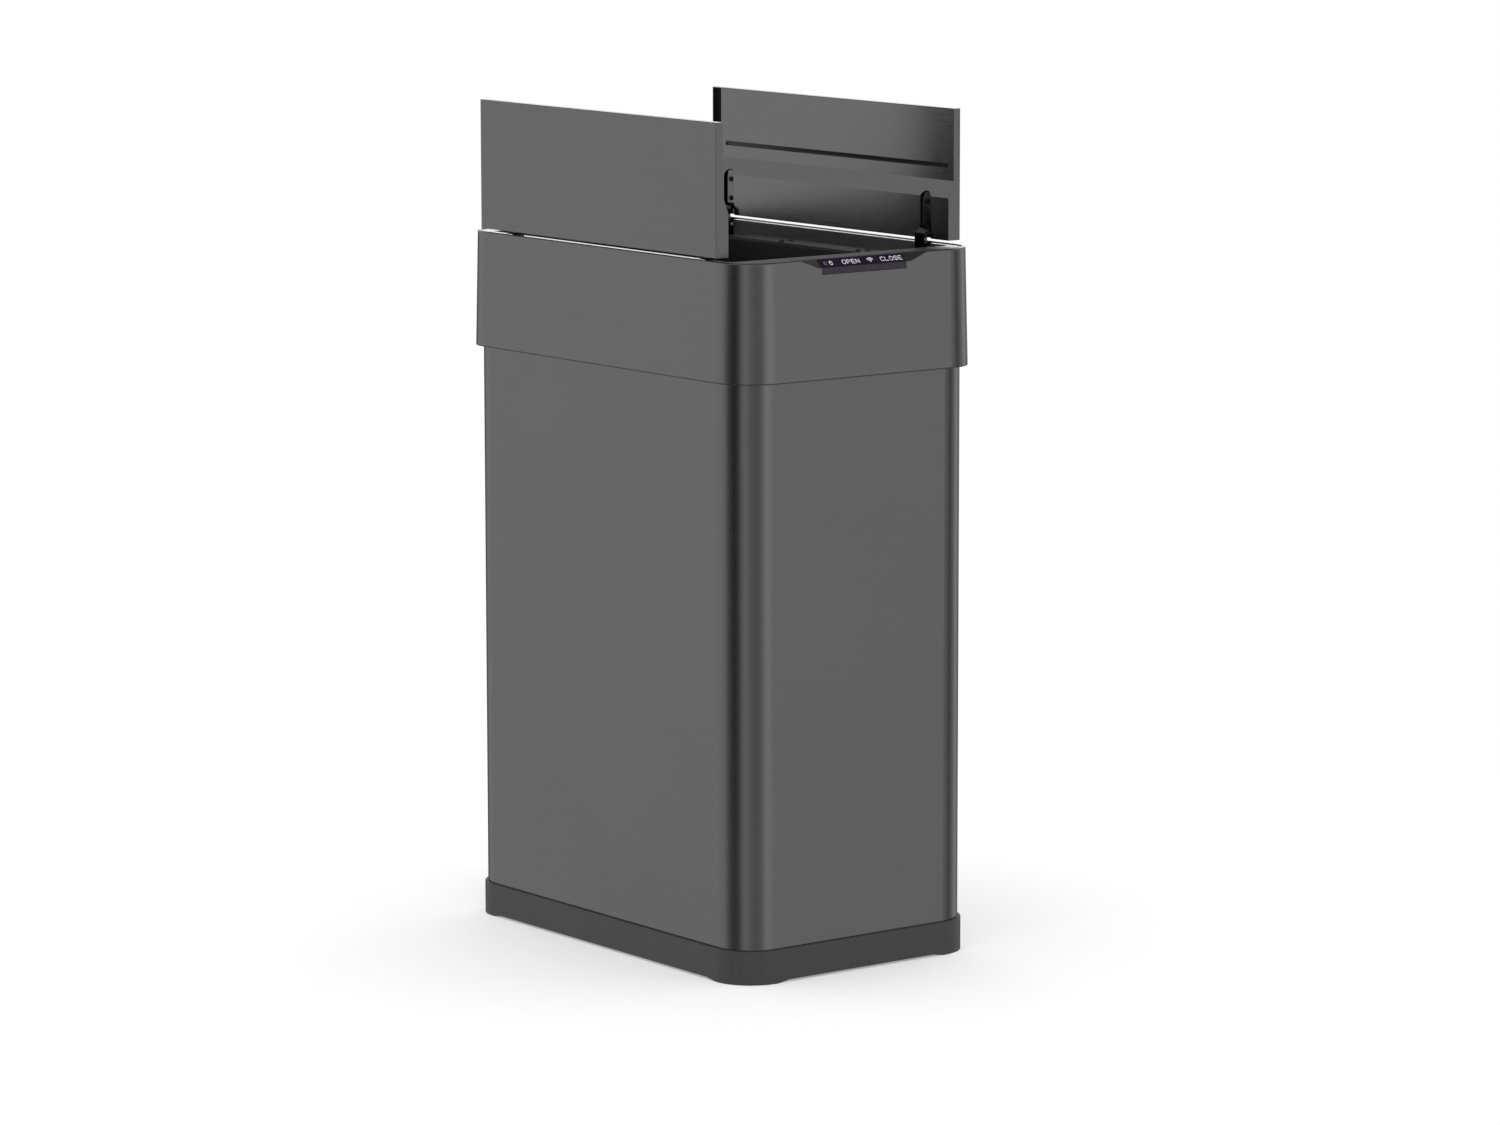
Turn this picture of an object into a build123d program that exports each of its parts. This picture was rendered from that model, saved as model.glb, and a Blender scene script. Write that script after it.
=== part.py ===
from build123d import *

import os
from math import atan2, degrees, pi, radians, sin, sqrt

# Sensor waste bin with two butterfly lid wings, standing open.
# Millimetres, +Z up, front towards -Y, origin on the floor under the middle of the bin.

os.makedirs("parts", exist_ok=True)

# ---------------------------------------------------------------- driving dimensions

# Steel body wrap
body_width = 276.0
body_depth = 440.0
body_corner = 38.0
body_wall = 0.7
body_height = 597.0
seam_width = 9.0
seam_thickness = 0.8

# Moulded base under the wrap
skirt_margin = 3.0  # how far the skirt stands out from the wrap
skirt_height = 30.0
skirt_edge_radius = 1.2
skirt_wall = 3.0
foot_height = 2.2  # corner feet below the skirt's lower edge
foot_length = 42.0
foot_ramp = 13.0
base_floor = 3.0
base_floor_lift = 9.0  # floor's top above the skirt's lower edge
base_rib = 2.0
upstand_drop = 4.0  # upstand's top below the skirt's top
upstand_wall = 3.0
pad_radius = 12.0
pad_inset = 28.0
pad_chamfer = 0.5

# Rim ring over the wrap's top edge, and the liner-bag ring in it
rim_leg = 1.6
rim_cap = 2.8
rim_height = 15.0
rim_shelf = 4.5
rim_shelf_thickness = 2.5
rim_shelf_lap = 0.5  # shelf's root inside the ring's wall
bag_ring_width = 3.5
bag_ring_height = 12.0
bag_ring_edge_radius = 1.2
bag_ring_grip_length = 60.0
bag_ring_grip_depth = 5.0

# Flared steel casing of the lid unit
casing_side_overhang = 3.0  # the casing's top outside the wrap, at each side
casing_end_overhang = 5.0
casing_corner_extra = 1.0
casing_flare = 2.5  # added on each side at the bottom
casing_skirt = 49.5  # casing below the top of the rim ring
casing_wall = 0.8
casing_lip = 3.2
casing_edge_radius = 1.5
casing_hem_height = 6.0
casing_hem_lap = 0.3  # folded hem's root inside the casing's wall

# Wings, measured in the open position
wing_overhang = 2.5  # open wing's outer face outside the casing's top
wing_gap = 3.3  # open wing's lower edge above the casing
wing_meeting_gap = 3.0  # between the two closed wings
wing_side_gap = 3.1  # closed wing to the recess at its hinge edge
wing_end_gap = 2.1
wing_thin = 8.0
wing_thick = 14.0
thick_zone = 40.0  # height of the thick part above the hinge edge
slope_zone = 16.0
skin_wall = 0.8
skin_edge_radius = 0.6
liner_wall = 2.0
slope_wall_rise = 0.5  # hollow's slope above the liner's, for an even wall
liner_end_recess = 14.0  # the liner stops this far short of the rear end
groove_height = 4.5
groove_depth = 1.2
groove_lip = 1.1  # groove is deepest this far above its lower edge
groove_drop = 52.0  # groove's upper edge below the free edge
groove_end_margin = 7.5

# Goose-neck hinge arms
arm_setback = 34.5  # middle of each arm from the wing's end
arm_width = 14.7
arm_thickness = 3.5
arm_reach = 13.75  # pivot to the arm's inner face
arm_neck_height = 15.9  # pivot to the start of the bevel
arm_bevel = 6.4
arm_length = 54.6  # pivot to the arm's rounded end
arm_web = 4.0
arm_web_rise = 0.5
round_end_flat = 0.05  # half the flat left in the middle of a rounded end
slot_side_gap = 1.15
boss_wall = 1.9
screw_drop = 9.0  # upper screw below the arm's end
screw_spacing = 18.8
screw_radius = 1.4
screw_head_radius = 2.5
screw_head_height = 1.4
cross_length = 3.5
cross_width = 0.8
screw_length = 8.0

# Hinge shafts and their gears
shaft_radius = 2.0
shaft_chamfer = 0.3
shaft_end_reach = 16.0  # shaft beyond the middle of each arm
bearing_length = 5.0
gear_module = 0.55
pinion_teeth = 12
drive_teeth = 15
gear_width = 6.0
tooth_root_depth = 1.15  # below the pitch circle, in modules
tooth_tip_height = 0.85
tooth_root_share = 0.28  # half width at the root, as a share of the pitch arc
tooth_tip_share = 0.12
gear_setback = 33.0  # middle of the gears from the rear arms
gear_lean = 0.9  # drive gear's centre towards the middle of the bin
axle_radius = 1.5
axle_length = 20.0
drive_length = 58.0
drive_height = 36.0
drive_shaft_gap = 1.55  # tower under the hinge shaft
drive_tower_length = 22.0
drive_edge_radius = 2.0

# Deck, recess, ledges and hinge rails
frame_wall = 1.6
deck_thickness = 2.5
deck_drop = 0.8  # deck below the casing's top
deck_side_width = 12.4
recess_corner = 5.0
ledge_side_width = 12.1
ledge_end_width = 10.6
pocket_arm_gap = 1.6  # closed arm above the floor of its pocket
pocket_floor = 2.0
pocket_casing_gap = 0.8
pocket_notch = 2.0  # the throat's wall is lower by this at each arm pocket
bumper_radius = 2.5
bumper_height = 1.5
bumper_gap = 0.3  # closed wing above the bumpers
bumper_spacing = 120.0

# Throat and seating flange
throat_corner = 12.0
throat_wall = 2.0
throat_drop = 11.0  # throat's lower end below the flange
flange_thickness = 2.5
flange_overhang = 1.5  # flange outside the wrap
post_radius = 4.5
post_inset = 12.5  # posts inside the throat's side walls
post_setback = 14.4  # posts beyond the recess's ends
frame_screw_radius = 1.5
frame_screw_length = 12.0
frame_screw_head_height = 1.8

# Sensor panel in the front edge
panel_length = 99.0
panel_height = 13.6
panel_band = 6.2  # upright band at the bottom
panel_depth = 11.2
panel_slope = 7.4
panel_proud = 0.4
notch_panel_gap = 4.5  # notch beyond each end of the panel, at its bottom
notch_flare = 22.0  # added to each end of the notch at its top
notch_depth = 8.2
cradle_end = 2.0
cradle_back = 0.8
cradle_floor = 1.9

# Control board behind the panel
board_length = 90.0
board_height = 36.0
board_thickness = 1.6
board_setback = 19.0  # board behind the casing's front edge
board_parts = (  # middle along the board, height above its lower edge, width, height, depth
    (0.0, 18.0, 16.0, 12.0, 2.0),  # controller
    (28.0, 14.0, 12.0, 12.0, 5.0),  # relay
    (0.0, 31.0, 24.0, 6.0, 7.0),  # sensor socket
)
capacitor_places = (-34.0, -24.0)
capacitor_radius = 4.0
capacitor_length = 10.0
capacitor_height = 16.0

# Battery box and door in the rear
cell_radius = 13.1
cell_length = 50.0
cell_edge_radius = 0.8
cell_tip_radius = 3.5
cell_tip_length = 2.0
cell_clear = 0.1
cell_rows = 2
cells_per_row = 2
box_wall = 1.3
box_end_wall = 2.0
box_top_gap = 0.8
door_gap = 2.95  # cells to the door's inner face
contact_thickness = 0.4
contact_space = 2.5
contact_plate = 16.0
contact_dome_radius = 3.0
contact_link = 8.0
door_thickness = 2.0
door_pin_radius = 1.2
door_pin_end_gap = 0.1
door_knuckle_radius = 2.0
door_grip_length = 24.0
door_grip_height = 5.0
door_grip_depth = 0.8
door_grip_drop = 6.0

# Switch and power inlet in the rear
switch_x = 80.0
switch_width = 11.0
switch_height = 17.0
switch_bezel = 2.0
switch_bezel_thickness = 1.0
switch_depth = 12.0
switch_wall = 1.2
rocker_pin_radius = 1.0
rocker_pin_depth = 2.5  # pin behind the casing's face
rocker_tilt = 8.0
rocker_end_gap = 1.0
rocker_side_gap = 0.3
rocker_crest = 2.4  # rocker's middle in front of its pin
rocker_keel = 2.0
jack_x = -80.0
jack_radius = 4.0
jack_bezel_radius = 5.5
jack_bezel_thickness = 1.2
jack_depth = 12.0
jack_hole_radius = 2.9
jack_pin_radius = 1.0
jack_end_wall = 2.0

# Clearances
seat_clear = 0.15  # parts pushed together
shaft_clear = 0.05  # turning shafts in their bores
loose_clear = 0.4  # parts that lift out or open

# Cutting shapes run this far past the faces they open
cut_margin = 1.0

# ---------------------------------------------------------------- derived places

# Heights, from the floor up
cell_pitch = 2 * (cell_radius + cell_clear)
battery_height = cell_rows * cell_pitch + 2 * box_wall
lid_rise = flange_thickness + battery_height + box_top_gap + deck_thickness + deck_drop
skirt_bottom = foot_height
skirt_top = skirt_bottom + skirt_height
body_seat = skirt_bottom + base_floor_lift
body_top = body_seat + body_height
rim_top = body_top + rim_cap
casing_top = rim_top + lid_rise
casing_bottom = rim_top - casing_skirt
deck_top = casing_top - deck_drop
deck_bottom = deck_top - deck_thickness
flange_top = rim_top + flange_thickness

# Widths and depths, from the casing inwards
casing_width = body_width + 2 * casing_side_overhang
casing_depth = body_depth + 2 * casing_end_overhang
casing_corner = body_corner + casing_corner_extra
battery_depth = seat_clear + box_wall + cell_pitch + door_gap + door_thickness
recess_half_width = casing_width / 2 - deck_side_width
recess_half_depth = casing_depth / 2 - battery_depth - frame_wall
throat_half_width = recess_half_width - ledge_side_width
throat_half_depth = recess_half_depth - ledge_end_width
flange_half_width = body_width / 2 + flange_overhang
flange_half_depth = body_depth / 2 + flange_overhang
rail_half_length = throat_half_depth - throat_corner
pocket_outer = casing_width / 2 - casing_wall - pocket_casing_gap
post_half_spacing_x = throat_half_width - post_inset
post_half_spacing_y = recess_half_depth + post_setback

# Wings
wing_length = 2 * (recess_half_depth - wing_end_gap)
wing_height = recess_half_width - wing_side_gap - wing_meeting_gap / 2
wing_outer_face = casing_width / 2 + wing_overhang
wing_inner_thin = wing_outer_face - wing_thin
wing_inner_thick = wing_outer_face - wing_thick
wing_bottom = casing_top + wing_gap
wing_top = wing_bottom + wing_height

# A quarter turn about the pivot carries the open wing to the closed place, level with the casing's top.
closed_hinge_edge = wing_height + wing_meeting_gap / 2
pivot_x = (wing_outer_face + closed_hinge_edge + wing_gap) / 2
pivot_z = casing_top - (wing_outer_face - closed_hinge_edge - wing_gap) / 2
ledge_top = pivot_z - (pivot_x - wing_inner_thick) - bumper_gap - bumper_height
ledge_bottom = ledge_top - deck_thickness
pocket_top = pivot_z - arm_reach - pocket_arm_gap

# Hinge arms, shafts and gears
arm_y = wing_length / 2 - arm_setback
pocket_half_width = arm_width / 2 + slot_side_gap
arm_back = wing_inner_thin  # the arm's plate lies on the slot's floor
arm_face = arm_back - arm_thickness
arm_end = pivot_z + arm_length
arm_screw_heights = (arm_end - screw_drop, arm_end - screw_drop - screw_spacing)
boss_radius = shaft_radius + boss_wall
shaft_length = 2 * (arm_y + shaft_end_reach)
gear_station = arm_y - gear_setback
drive_distance = gear_module * (pinion_teeth + drive_teeth) / 2 + shaft_clear
drive_x = pivot_x - gear_lean
drive_z = pivot_z - sqrt(drive_distance**2 - gear_lean**2)
drive_top = pivot_z - shaft_radius - drive_shaft_gap

# Sensor panel and board
notch_half_bottom = panel_length / 2 + notch_panel_gap
notch_half_top = notch_half_bottom + notch_flare
cradle_half_length = notch_half_top + cradle_end
cradle_depth = panel_depth + cradle_back
cradle_height = panel_height + cradle_floor
board_face = -casing_depth / 2 + board_setback

# Battery box and fittings in the rear
box_inner_length = cells_per_row * cell_length + 2 * contact_space
box_half_length = box_inner_length / 2 + box_end_wall
box_low = flange_top
box_high = box_low + battery_height
box_back = recess_half_depth + frame_wall + seat_clear
cell_y = box_back + box_wall + cell_pitch / 2
row_heights = [box_low + box_wall + cell_pitch * (row + 0.5) for row in range(cell_rows)]
door_outer = casing_depth / 2
door_inner = door_outer - door_thickness
door_half_width = box_inner_length / 2 - loose_clear
door_low = box_low + box_wall + loose_clear
door_high = box_high - box_wall - loose_clear
door_pivot_y = door_inner
door_pivot_z = door_low + door_knuckle_radius
fitting_z = (flange_top + deck_bottom) / 2


def body_outline(margin):
    """Width, depth and corner of the body's outline, moved outwards by margin."""
    return body_width + 2 * margin, body_depth + 2 * margin, body_corner + margin


def casing_outline(height, margin=0.0):
    """Width, depth and corner of the casing's outline at a height, moved outwards by margin."""
    grow = casing_flare * (casing_top - height) / (casing_top - casing_bottom) + margin
    return casing_width + 2 * grow, casing_depth + 2 * grow, casing_corner + grow


def add_block(low, high, outline):
    """Add a block with a rounded outline between two heights to the part being built."""
    with BuildSketch(Plane.XY.offset(low)) as section:
        RectangleRounded(*outline)
    extrude(section.sketch, amount=high - low)


def add_ring(low, high, outer, inner, mode=Mode.ADD):
    """Add or cut a ring with rounded outlines between two heights."""
    with BuildSketch(Plane.XY.offset(low)) as section:
        RectangleRounded(*outer)
        RectangleRounded(*inner, mode=Mode.SUBTRACT)
    extrude(section.sketch, amount=high - low, mode=mode)


def cut_block(low, high, outline):
    """Cut a block with a rounded outline between two heights."""
    with BuildSketch(Plane.XY.offset(low)) as section:
        RectangleRounded(*outline)
    extrude(section.sketch, amount=high - low, mode=Mode.SUBTRACT)


def box_between(low, high, mode=Mode.ADD):
    """Add or cut a box given by its lowest and highest corners."""
    size = [b - a for a, b in zip(low, high)]
    middle = [(a + b) / 2 for a, b in zip(low, high)]
    with Locations(tuple(middle)):
        Box(*size, mode=mode)


def rod_along_y(radius, length, x, y, z, mode=Mode.ADD):
    """Add or cut a round rod along Y, centred on the given point."""
    with Locations(Location((x, y, z), (90, 0, 0))):
        Cylinder(radius, length, mode=mode)


def rod_along_x(radius, length, x, y, z, mode=Mode.ADD):
    """Add or cut a round rod along X, centred on the given point."""
    with Locations(Location((x, y, z), (0, 90, 0))):
        Cylinder(radius, length, mode=mode)


def save(part, name):
    """Label a finished piece and write its STEP file."""
    part.label = name
    export_step(part, f"parts/{name}.step")


def save_pair(part, name):
    """Write a right-hand piece and its mirror image for the left."""
    save(part, f"{name}_right")
    with BuildPart() as other:
        add(mirror(part, about=Plane.YZ))
    save(other.part, f"{name}_left")


# ---------------------------------------------------------------- body


def build_base():
    """Moulded base: skirt with four corner feet, floor, and the upstand inside the wrap."""
    skirt = body_outline(skirt_margin)
    half_width = skirt[0] / 2
    half_depth = skirt[1] / 2
    floor_underside = body_seat - base_floor
    with BuildPart() as base:
        add_block(0, skirt_top, skirt)
        fillet(base.faces().sort_by(Axis.Z)[-1].outer_wire().edges(), skirt_edge_radius)
        cut_block(body_seat, skirt_top, body_outline(seat_clear))
        cut_block(0, floor_underside, body_outline(skirt_margin - skirt_wall))
        add_ring(
            body_seat,
            skirt_top - upstand_drop,
            body_outline(-body_wall - seat_clear),
            body_outline(-body_wall - seat_clear - upstand_wall),
        )
        rib_x = half_width - skirt_wall
        rib_y = half_depth - skirt_wall
        half_rib = base_rib / 2
        box_between((-half_rib, -rib_y, skirt_bottom), (half_rib, rib_y, body_seat))
        for y in (-half_depth / 3, half_depth / 3):
            box_between((-rib_x, y - half_rib, skirt_bottom), (rib_x, y + half_rib, body_seat))
        with BuildSketch(Plane.XY.offset(foot_height)) as pad_bosses:
            with GridLocations(skirt[0] - 2 * pad_inset, skirt[1] - 2 * pad_inset, 2, 2):
                Circle(pad_radius)
        extrude(pad_bosses.sketch, amount=body_seat - foot_height)
        raised_x = half_width - foot_length
        with BuildSketch(Plane.XZ) as between_feet_front:
            Polygon(
                (-raised_x, 0), (raised_x, 0), (raised_x - foot_ramp, foot_height),
                (-raised_x + foot_ramp, foot_height), align=None,
            )
        extrude(between_feet_front.sketch, amount=body_depth, both=True, mode=Mode.SUBTRACT)
        raised_y = half_depth - foot_length
        with BuildSketch(Plane.YZ) as between_feet_side:
            Polygon(
                (-raised_y, 0), (raised_y, 0), (raised_y - foot_ramp, foot_height),
                (-raised_y + foot_ramp, foot_height), align=None,
            )
        extrude(between_feet_side.sketch, amount=body_width, both=True, mode=Mode.SUBTRACT)
    save(base.part, "base")


def build_foot_pads():
    """Four rubber pads under the base."""
    skirt = body_outline(skirt_margin)
    x = skirt[0] / 2 - pad_inset
    y = skirt[1] / 2 - pad_inset
    corners = {"front_left": (-x, -y), "front_right": (x, -y), "rear_left": (-x, y), "rear_right": (x, y)}
    for name, (pad_x, pad_y) in corners.items():
        with BuildPart() as pad:
            with BuildSketch(Plane((pad_x, pad_y, 0))):
                Circle(pad_radius)
            extrude(amount=foot_height)
            chamfer(pad.edges().group_by(Axis.Z)[0], pad_chamfer)
        save(pad.part, f"foot_pad_{name}")


def build_body_shell():
    """Steel wrap of the body, open at both ends."""
    with BuildPart() as shell:
        add_ring(body_seat, body_top, body_outline(0), body_outline(-body_wall))
    save(shell.part, "body_shell")


def build_seam_strip():
    """Flat folded seam that closes the wrap at the back."""
    with BuildPart() as seam:
        low = skirt_top + loose_clear
        high = rim_top - rim_height - loose_clear
        box_between(
            (-seam_width / 2, body_depth / 2, low),
            (seam_width / 2, body_depth / 2 + seam_thickness, high),
        )
        fillet(seam.faces().sort_by(Axis.Y)[-1].edges().filter_by(Axis.Z), seam_thickness / 2)
    save(seam.part, "body_seam")


def build_rim_ring():
    """Plastic ring that caps the wrap's top edge and carries the bag ring on a shelf."""
    inner = -body_wall - seat_clear - rim_leg
    low = rim_top - rim_height
    with BuildPart() as rim:
        add_ring(low, rim_top, body_outline(seat_clear + rim_leg), body_outline(inner))
        shelf_root = body_outline(inner + rim_shelf_lap)
        add_ring(low, low + rim_shelf_thickness, shelf_root, body_outline(inner - rim_shelf))
        slot_inner = body_outline(-body_wall - seat_clear)
        add_ring(low, body_top, body_outline(seat_clear), slot_inner, Mode.SUBTRACT)
    save(rim.part, "rim_ring")


def build_bag_ring():
    """Loose ring that clamps the bag's edge; it lifts out of the rim ring."""
    outer = -body_wall - seat_clear - rim_leg - loose_clear
    inner = body_outline(outer - bag_ring_width)
    low = rim_top - rim_height + rim_shelf_thickness
    high = low + bag_ring_height
    with BuildPart() as ring:
        add_ring(low, high, body_outline(outer), inner)
        fillet(ring.faces().sort_by(Axis.Z)[-1].inner_wires()[0].edges(), bag_ring_edge_radius)
        with BuildSketch(Plane.YZ) as grips:
            with Locations((0, high)):
                SlotOverall(bag_ring_grip_length, 2 * bag_ring_grip_depth)
        extrude(grips.sketch, amount=body_width, both=True, mode=Mode.SUBTRACT)
    save(ring.part, "bag_ring")


# ---------------------------------------------------------------- lid unit


def build_casing():
    """Flared steel casing with its turned-in lip, the front notch and the rear cut-outs."""
    inside_top = casing_top - casing_wall
    with BuildPart() as casing:
        with BuildSketch(Plane.XY.offset(casing_bottom)):
            RectangleRounded(*casing_outline(casing_bottom))
        with BuildSketch(Plane.XY.offset(casing_top)):
            RectangleRounded(*casing_outline(casing_top))
        loft()
        fillet(casing.faces().sort_by(Axis.Z)[-1].edges(), casing_edge_radius)
        with BuildSketch(Plane.XY.offset(casing_bottom)) as inside_low:
            RectangleRounded(*casing_outline(casing_bottom, -casing_wall))
        with BuildSketch(Plane.XY.offset(inside_top)) as inside_high:
            RectangleRounded(*casing_outline(inside_top, -casing_wall))
        loft([inside_low.sketch, inside_high.sketch], mode=Mode.SUBTRACT)
        cut_block(inside_top, casing_top, casing_outline(casing_top, -casing_lip))
        add_ring(
            casing_bottom,
            casing_bottom + casing_hem_height,
            casing_outline(casing_bottom, casing_hem_lap - casing_wall),
            casing_outline(casing_bottom, -2 * casing_wall),
        )
        panel_half = panel_length / 2 + seat_clear
        panel_low = deck_top - panel_height - seat_clear
        notch_low = casing_top - notch_depth
        with BuildSketch(Plane.XZ) as notch:
            Polygon(
                (-notch_half_top, casing_top), (-notch_half_bottom, notch_low), (-panel_half, notch_low),
                (-panel_half, panel_low), (panel_half, panel_low), (panel_half, notch_low),
                (notch_half_bottom, notch_low), (notch_half_top, casing_top), align=None,
            )
        extrude(notch.sketch, amount=casing_depth, mode=Mode.SUBTRACT)
        with BuildSketch(Plane.XZ) as rear_cuts:
            with Locations((0, (door_low + door_high) / 2)):
                Rectangle(2 * (door_half_width + loose_clear), door_high - door_low + 2 * loose_clear)
            with Locations((switch_x, fitting_z)):
                Rectangle(switch_width + 2 * seat_clear, switch_height + 2 * seat_clear)
            with Locations((jack_x, fitting_z)):
                Circle(jack_radius + seat_clear)
        extrude(rear_cuts.sketch, amount=-casing_depth, mode=Mode.SUBTRACT)
    save(casing.part, "lid_casing")


def build_deck_frame():
    """Deck with the recess walls under it and a ledge at each end, cut away where the rails rise."""
    deck_outline = casing_outline(casing_top, -casing_wall - seat_clear)
    recess = (2 * recess_half_width, 2 * recess_half_depth, recess_corner)
    recess_outer = [size + 2 * frame_wall for size in recess[:2]] + [recess_corner + frame_wall]
    throat = (2 * throat_half_width, 2 * throat_half_depth, throat_corner)
    with BuildPart() as frame:
        add_ring(deck_bottom, deck_top, deck_outline, recess)
        add_ring(ledge_bottom, deck_bottom, recess_outer, recess)
        add_ring(ledge_bottom, ledge_top, recess_outer, throat)
        box_between(
            (-casing_width, -rail_half_length, ledge_bottom),
            (casing_width, rail_half_length, ledge_top),
            mode=Mode.SUBTRACT,
        )
        for side, y in ((side, y) for side in (-1, 1) for y in (-arm_y, arm_y)):
            x0, x1 = sorted((side * throat_half_width, side * pocket_outer))
            lug = pocket_half_width + bearing_length
            box_between((x0, y - lug, ledge_top), (x1, y + lug, deck_bottom), mode=Mode.SUBTRACT)
            slot = pocket_half_width
            box_between((x0, y - slot, deck_bottom), (x1, y + slot, deck_top), mode=Mode.SUBTRACT)
        front = -casing_depth / 2
        box_between(
            (-cradle_half_length - seat_clear, front, deck_bottom),
            (cradle_half_length + seat_clear, front + casing_wall + cradle_depth + seat_clear, deck_top),
            mode=Mode.SUBTRACT,
        )
    save(frame.part, "deck_frame")


def build_hinge_rails():
    """Side ledges with the arm pockets; the lugs beside each pocket carry the hinge shaft."""
    lug = pocket_half_width + bearing_length
    rail_outer = recess_half_width + frame_wall
    with BuildPart() as rail:
        box_between(
            (throat_half_width, -rail_half_length, ledge_bottom),
            (rail_outer, rail_half_length, ledge_top),
        )
        for y in (-arm_y, arm_y):
            box_between(
                (throat_half_width + throat_wall, y - lug, pocket_top - pocket_floor),
                (pocket_outer, y + lug, ledge_bottom),
            )
            box_between((recess_half_width, y - lug, ledge_bottom), (pocket_outer, y + lug, deck_bottom))
        for y in (-arm_y, arm_y):
            slot = pocket_half_width
            box_between(
                (throat_half_width + throat_wall, y - slot, pocket_top),
                (pocket_outer, y + slot, deck_bottom),
                mode=Mode.SUBTRACT,
            )
            box_between(
                (throat_half_width, y - slot, ledge_bottom),
                (recess_half_width, y + slot, ledge_top),
                mode=Mode.SUBTRACT,
            )
        rod_along_y(shaft_radius + shaft_clear, shaft_length, pivot_x, 0, pivot_z, Mode.SUBTRACT)
    save_pair(rail.part, "hinge_rail")


def build_bumpers():
    """Small rubber bumpers on the ledge, under the closed wings."""
    x = (throat_half_width + recess_half_width) / 2
    for side, side_name in ((-1, "left"), (1, "right")):
        for y, end_name in ((-bumper_spacing / 2, "front"), (bumper_spacing / 2, "rear")):
            with BuildPart() as bumper:
                with BuildSketch(Plane((side * x, y, ledge_top))):
                    Circle(bumper_radius)
                extrude(amount=bumper_height)
                fillet(bumper.edges().group_by(Axis.Z)[-1], bumper_height / 2)
            save(bumper.part, f"bumper_{end_name}_{side_name}")


def build_throat():
    """Throat that leads down into the bag, notched under the arm pockets."""
    throat = (2 * throat_half_width, 2 * throat_half_depth, throat_corner)
    throat_outer = [size + 2 * throat_wall for size in throat[:2]] + [throat_corner + throat_wall]
    with BuildPart() as tube:
        add_ring(rim_top - throat_drop, ledge_bottom, throat_outer, throat)
        for y in (-arm_y, arm_y):
            box_between(
                (-throat_half_width - throat_wall, y - pocket_half_width, ledge_bottom - pocket_notch),
                (throat_half_width + throat_wall, y + pocket_half_width, ledge_bottom),
                mode=Mode.SUBTRACT,
            )
    save(tube.part, "throat")


def build_seat_flange():
    """Flange that seats the lid unit on the rim ring, and the four posts up to the deck."""
    margin = throat_wall + seat_clear
    hole = (2 * (throat_half_width + margin), 2 * (throat_half_depth + margin), throat_corner + margin)
    flange = (2 * flange_half_width, 2 * flange_half_depth, body_corner)
    with BuildPart() as frame:
        add_ring(rim_top, flange_top, flange, hole)
        with BuildSketch(Plane.XY.offset(flange_top)) as posts:
            with GridLocations(2 * post_half_spacing_x, 2 * post_half_spacing_y, 2, 2):
                Circle(post_radius)
        extrude(posts.sketch, amount=deck_bottom - flange_top)
        with BuildSketch(Plane.XY.offset(rim_top)) as screw_holes:
            with GridLocations(2 * post_half_spacing_x, 2 * post_half_spacing_y, 2, 2):
                Circle(frame_screw_radius + shaft_clear)
        extrude(screw_holes.sketch, amount=frame_screw_length + cut_margin, mode=Mode.SUBTRACT)
    save(frame.part, "seat_flange")


def build_frame_screws():
    """Screws that come up through the flange into the posts."""
    for x, side_name in ((-post_half_spacing_x, "left"), (post_half_spacing_x, "right")):
        for y, end_name in ((-post_half_spacing_y, "front"), (post_half_spacing_y, "rear")):
            with BuildPart() as screw:
                with BuildSketch(Plane((x, y, rim_top))) as shank:
                    Circle(frame_screw_radius)
                extrude(shank.sketch, amount=frame_screw_length)
                with BuildSketch(Plane((x, y, rim_top))) as head:
                    Circle(2 * frame_screw_radius)
                extrude(head.sketch, amount=-frame_screw_head_height)
            save(screw.part, f"frame_screw_{end_name}_{side_name}")


# ---------------------------------------------------------------- sensor panel


def build_panel_cradle():
    """Moulded cradle behind the notch; its scooped ends fall towards the panel."""
    front = -casing_depth / 2 + casing_wall
    back = front + cradle_depth
    notch_low = casing_top - notch_depth
    panel_half = panel_length / 2 + seat_clear
    slope_back = -casing_depth / 2 + panel_slope
    front_face = -casing_depth / 2
    with BuildPart() as cradle:
        box_between(
            (-cradle_half_length, front + seat_clear, deck_top - cradle_height),
            (cradle_half_length, back, deck_top),
        )
        ConvexPolyhedron(
            [
                (-notch_half_top, front_face, deck_top), (notch_half_top, front_face, deck_top),
                (-notch_half_bottom, front_face, notch_low), (notch_half_bottom, front_face, notch_low),
                (-panel_half, slope_back, deck_top), (panel_half, slope_back, deck_top),
            ],
            mode=Mode.SUBTRACT,
        )
        box_between(
            (-panel_half, front_face, deck_top - panel_height - seat_clear),
            (panel_half, front_face - panel_proud + panel_depth + seat_clear, deck_top),
            mode=Mode.SUBTRACT,
        )
    save(cradle.part, "panel_cradle")


def build_sensor_panel():
    """Gloss lens strip: an upright band with a sloped face above it."""
    front = -casing_depth / 2 - panel_proud
    low = deck_top - panel_height
    with BuildPart() as panel:
        with BuildSketch(Plane.YZ):
            Polygon(
                (front, low), (front, low + panel_band), (front + panel_slope, deck_top),
                (front + panel_depth, deck_top), (front + panel_depth, low), align=None,
            )
        extrude(amount=panel_length / 2, both=True)
        fillet(panel.edges().filter_by(Axis.X).sort_by(Axis.Y)[:2], 0.5)
    save(panel.part, "sensor_panel")


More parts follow.
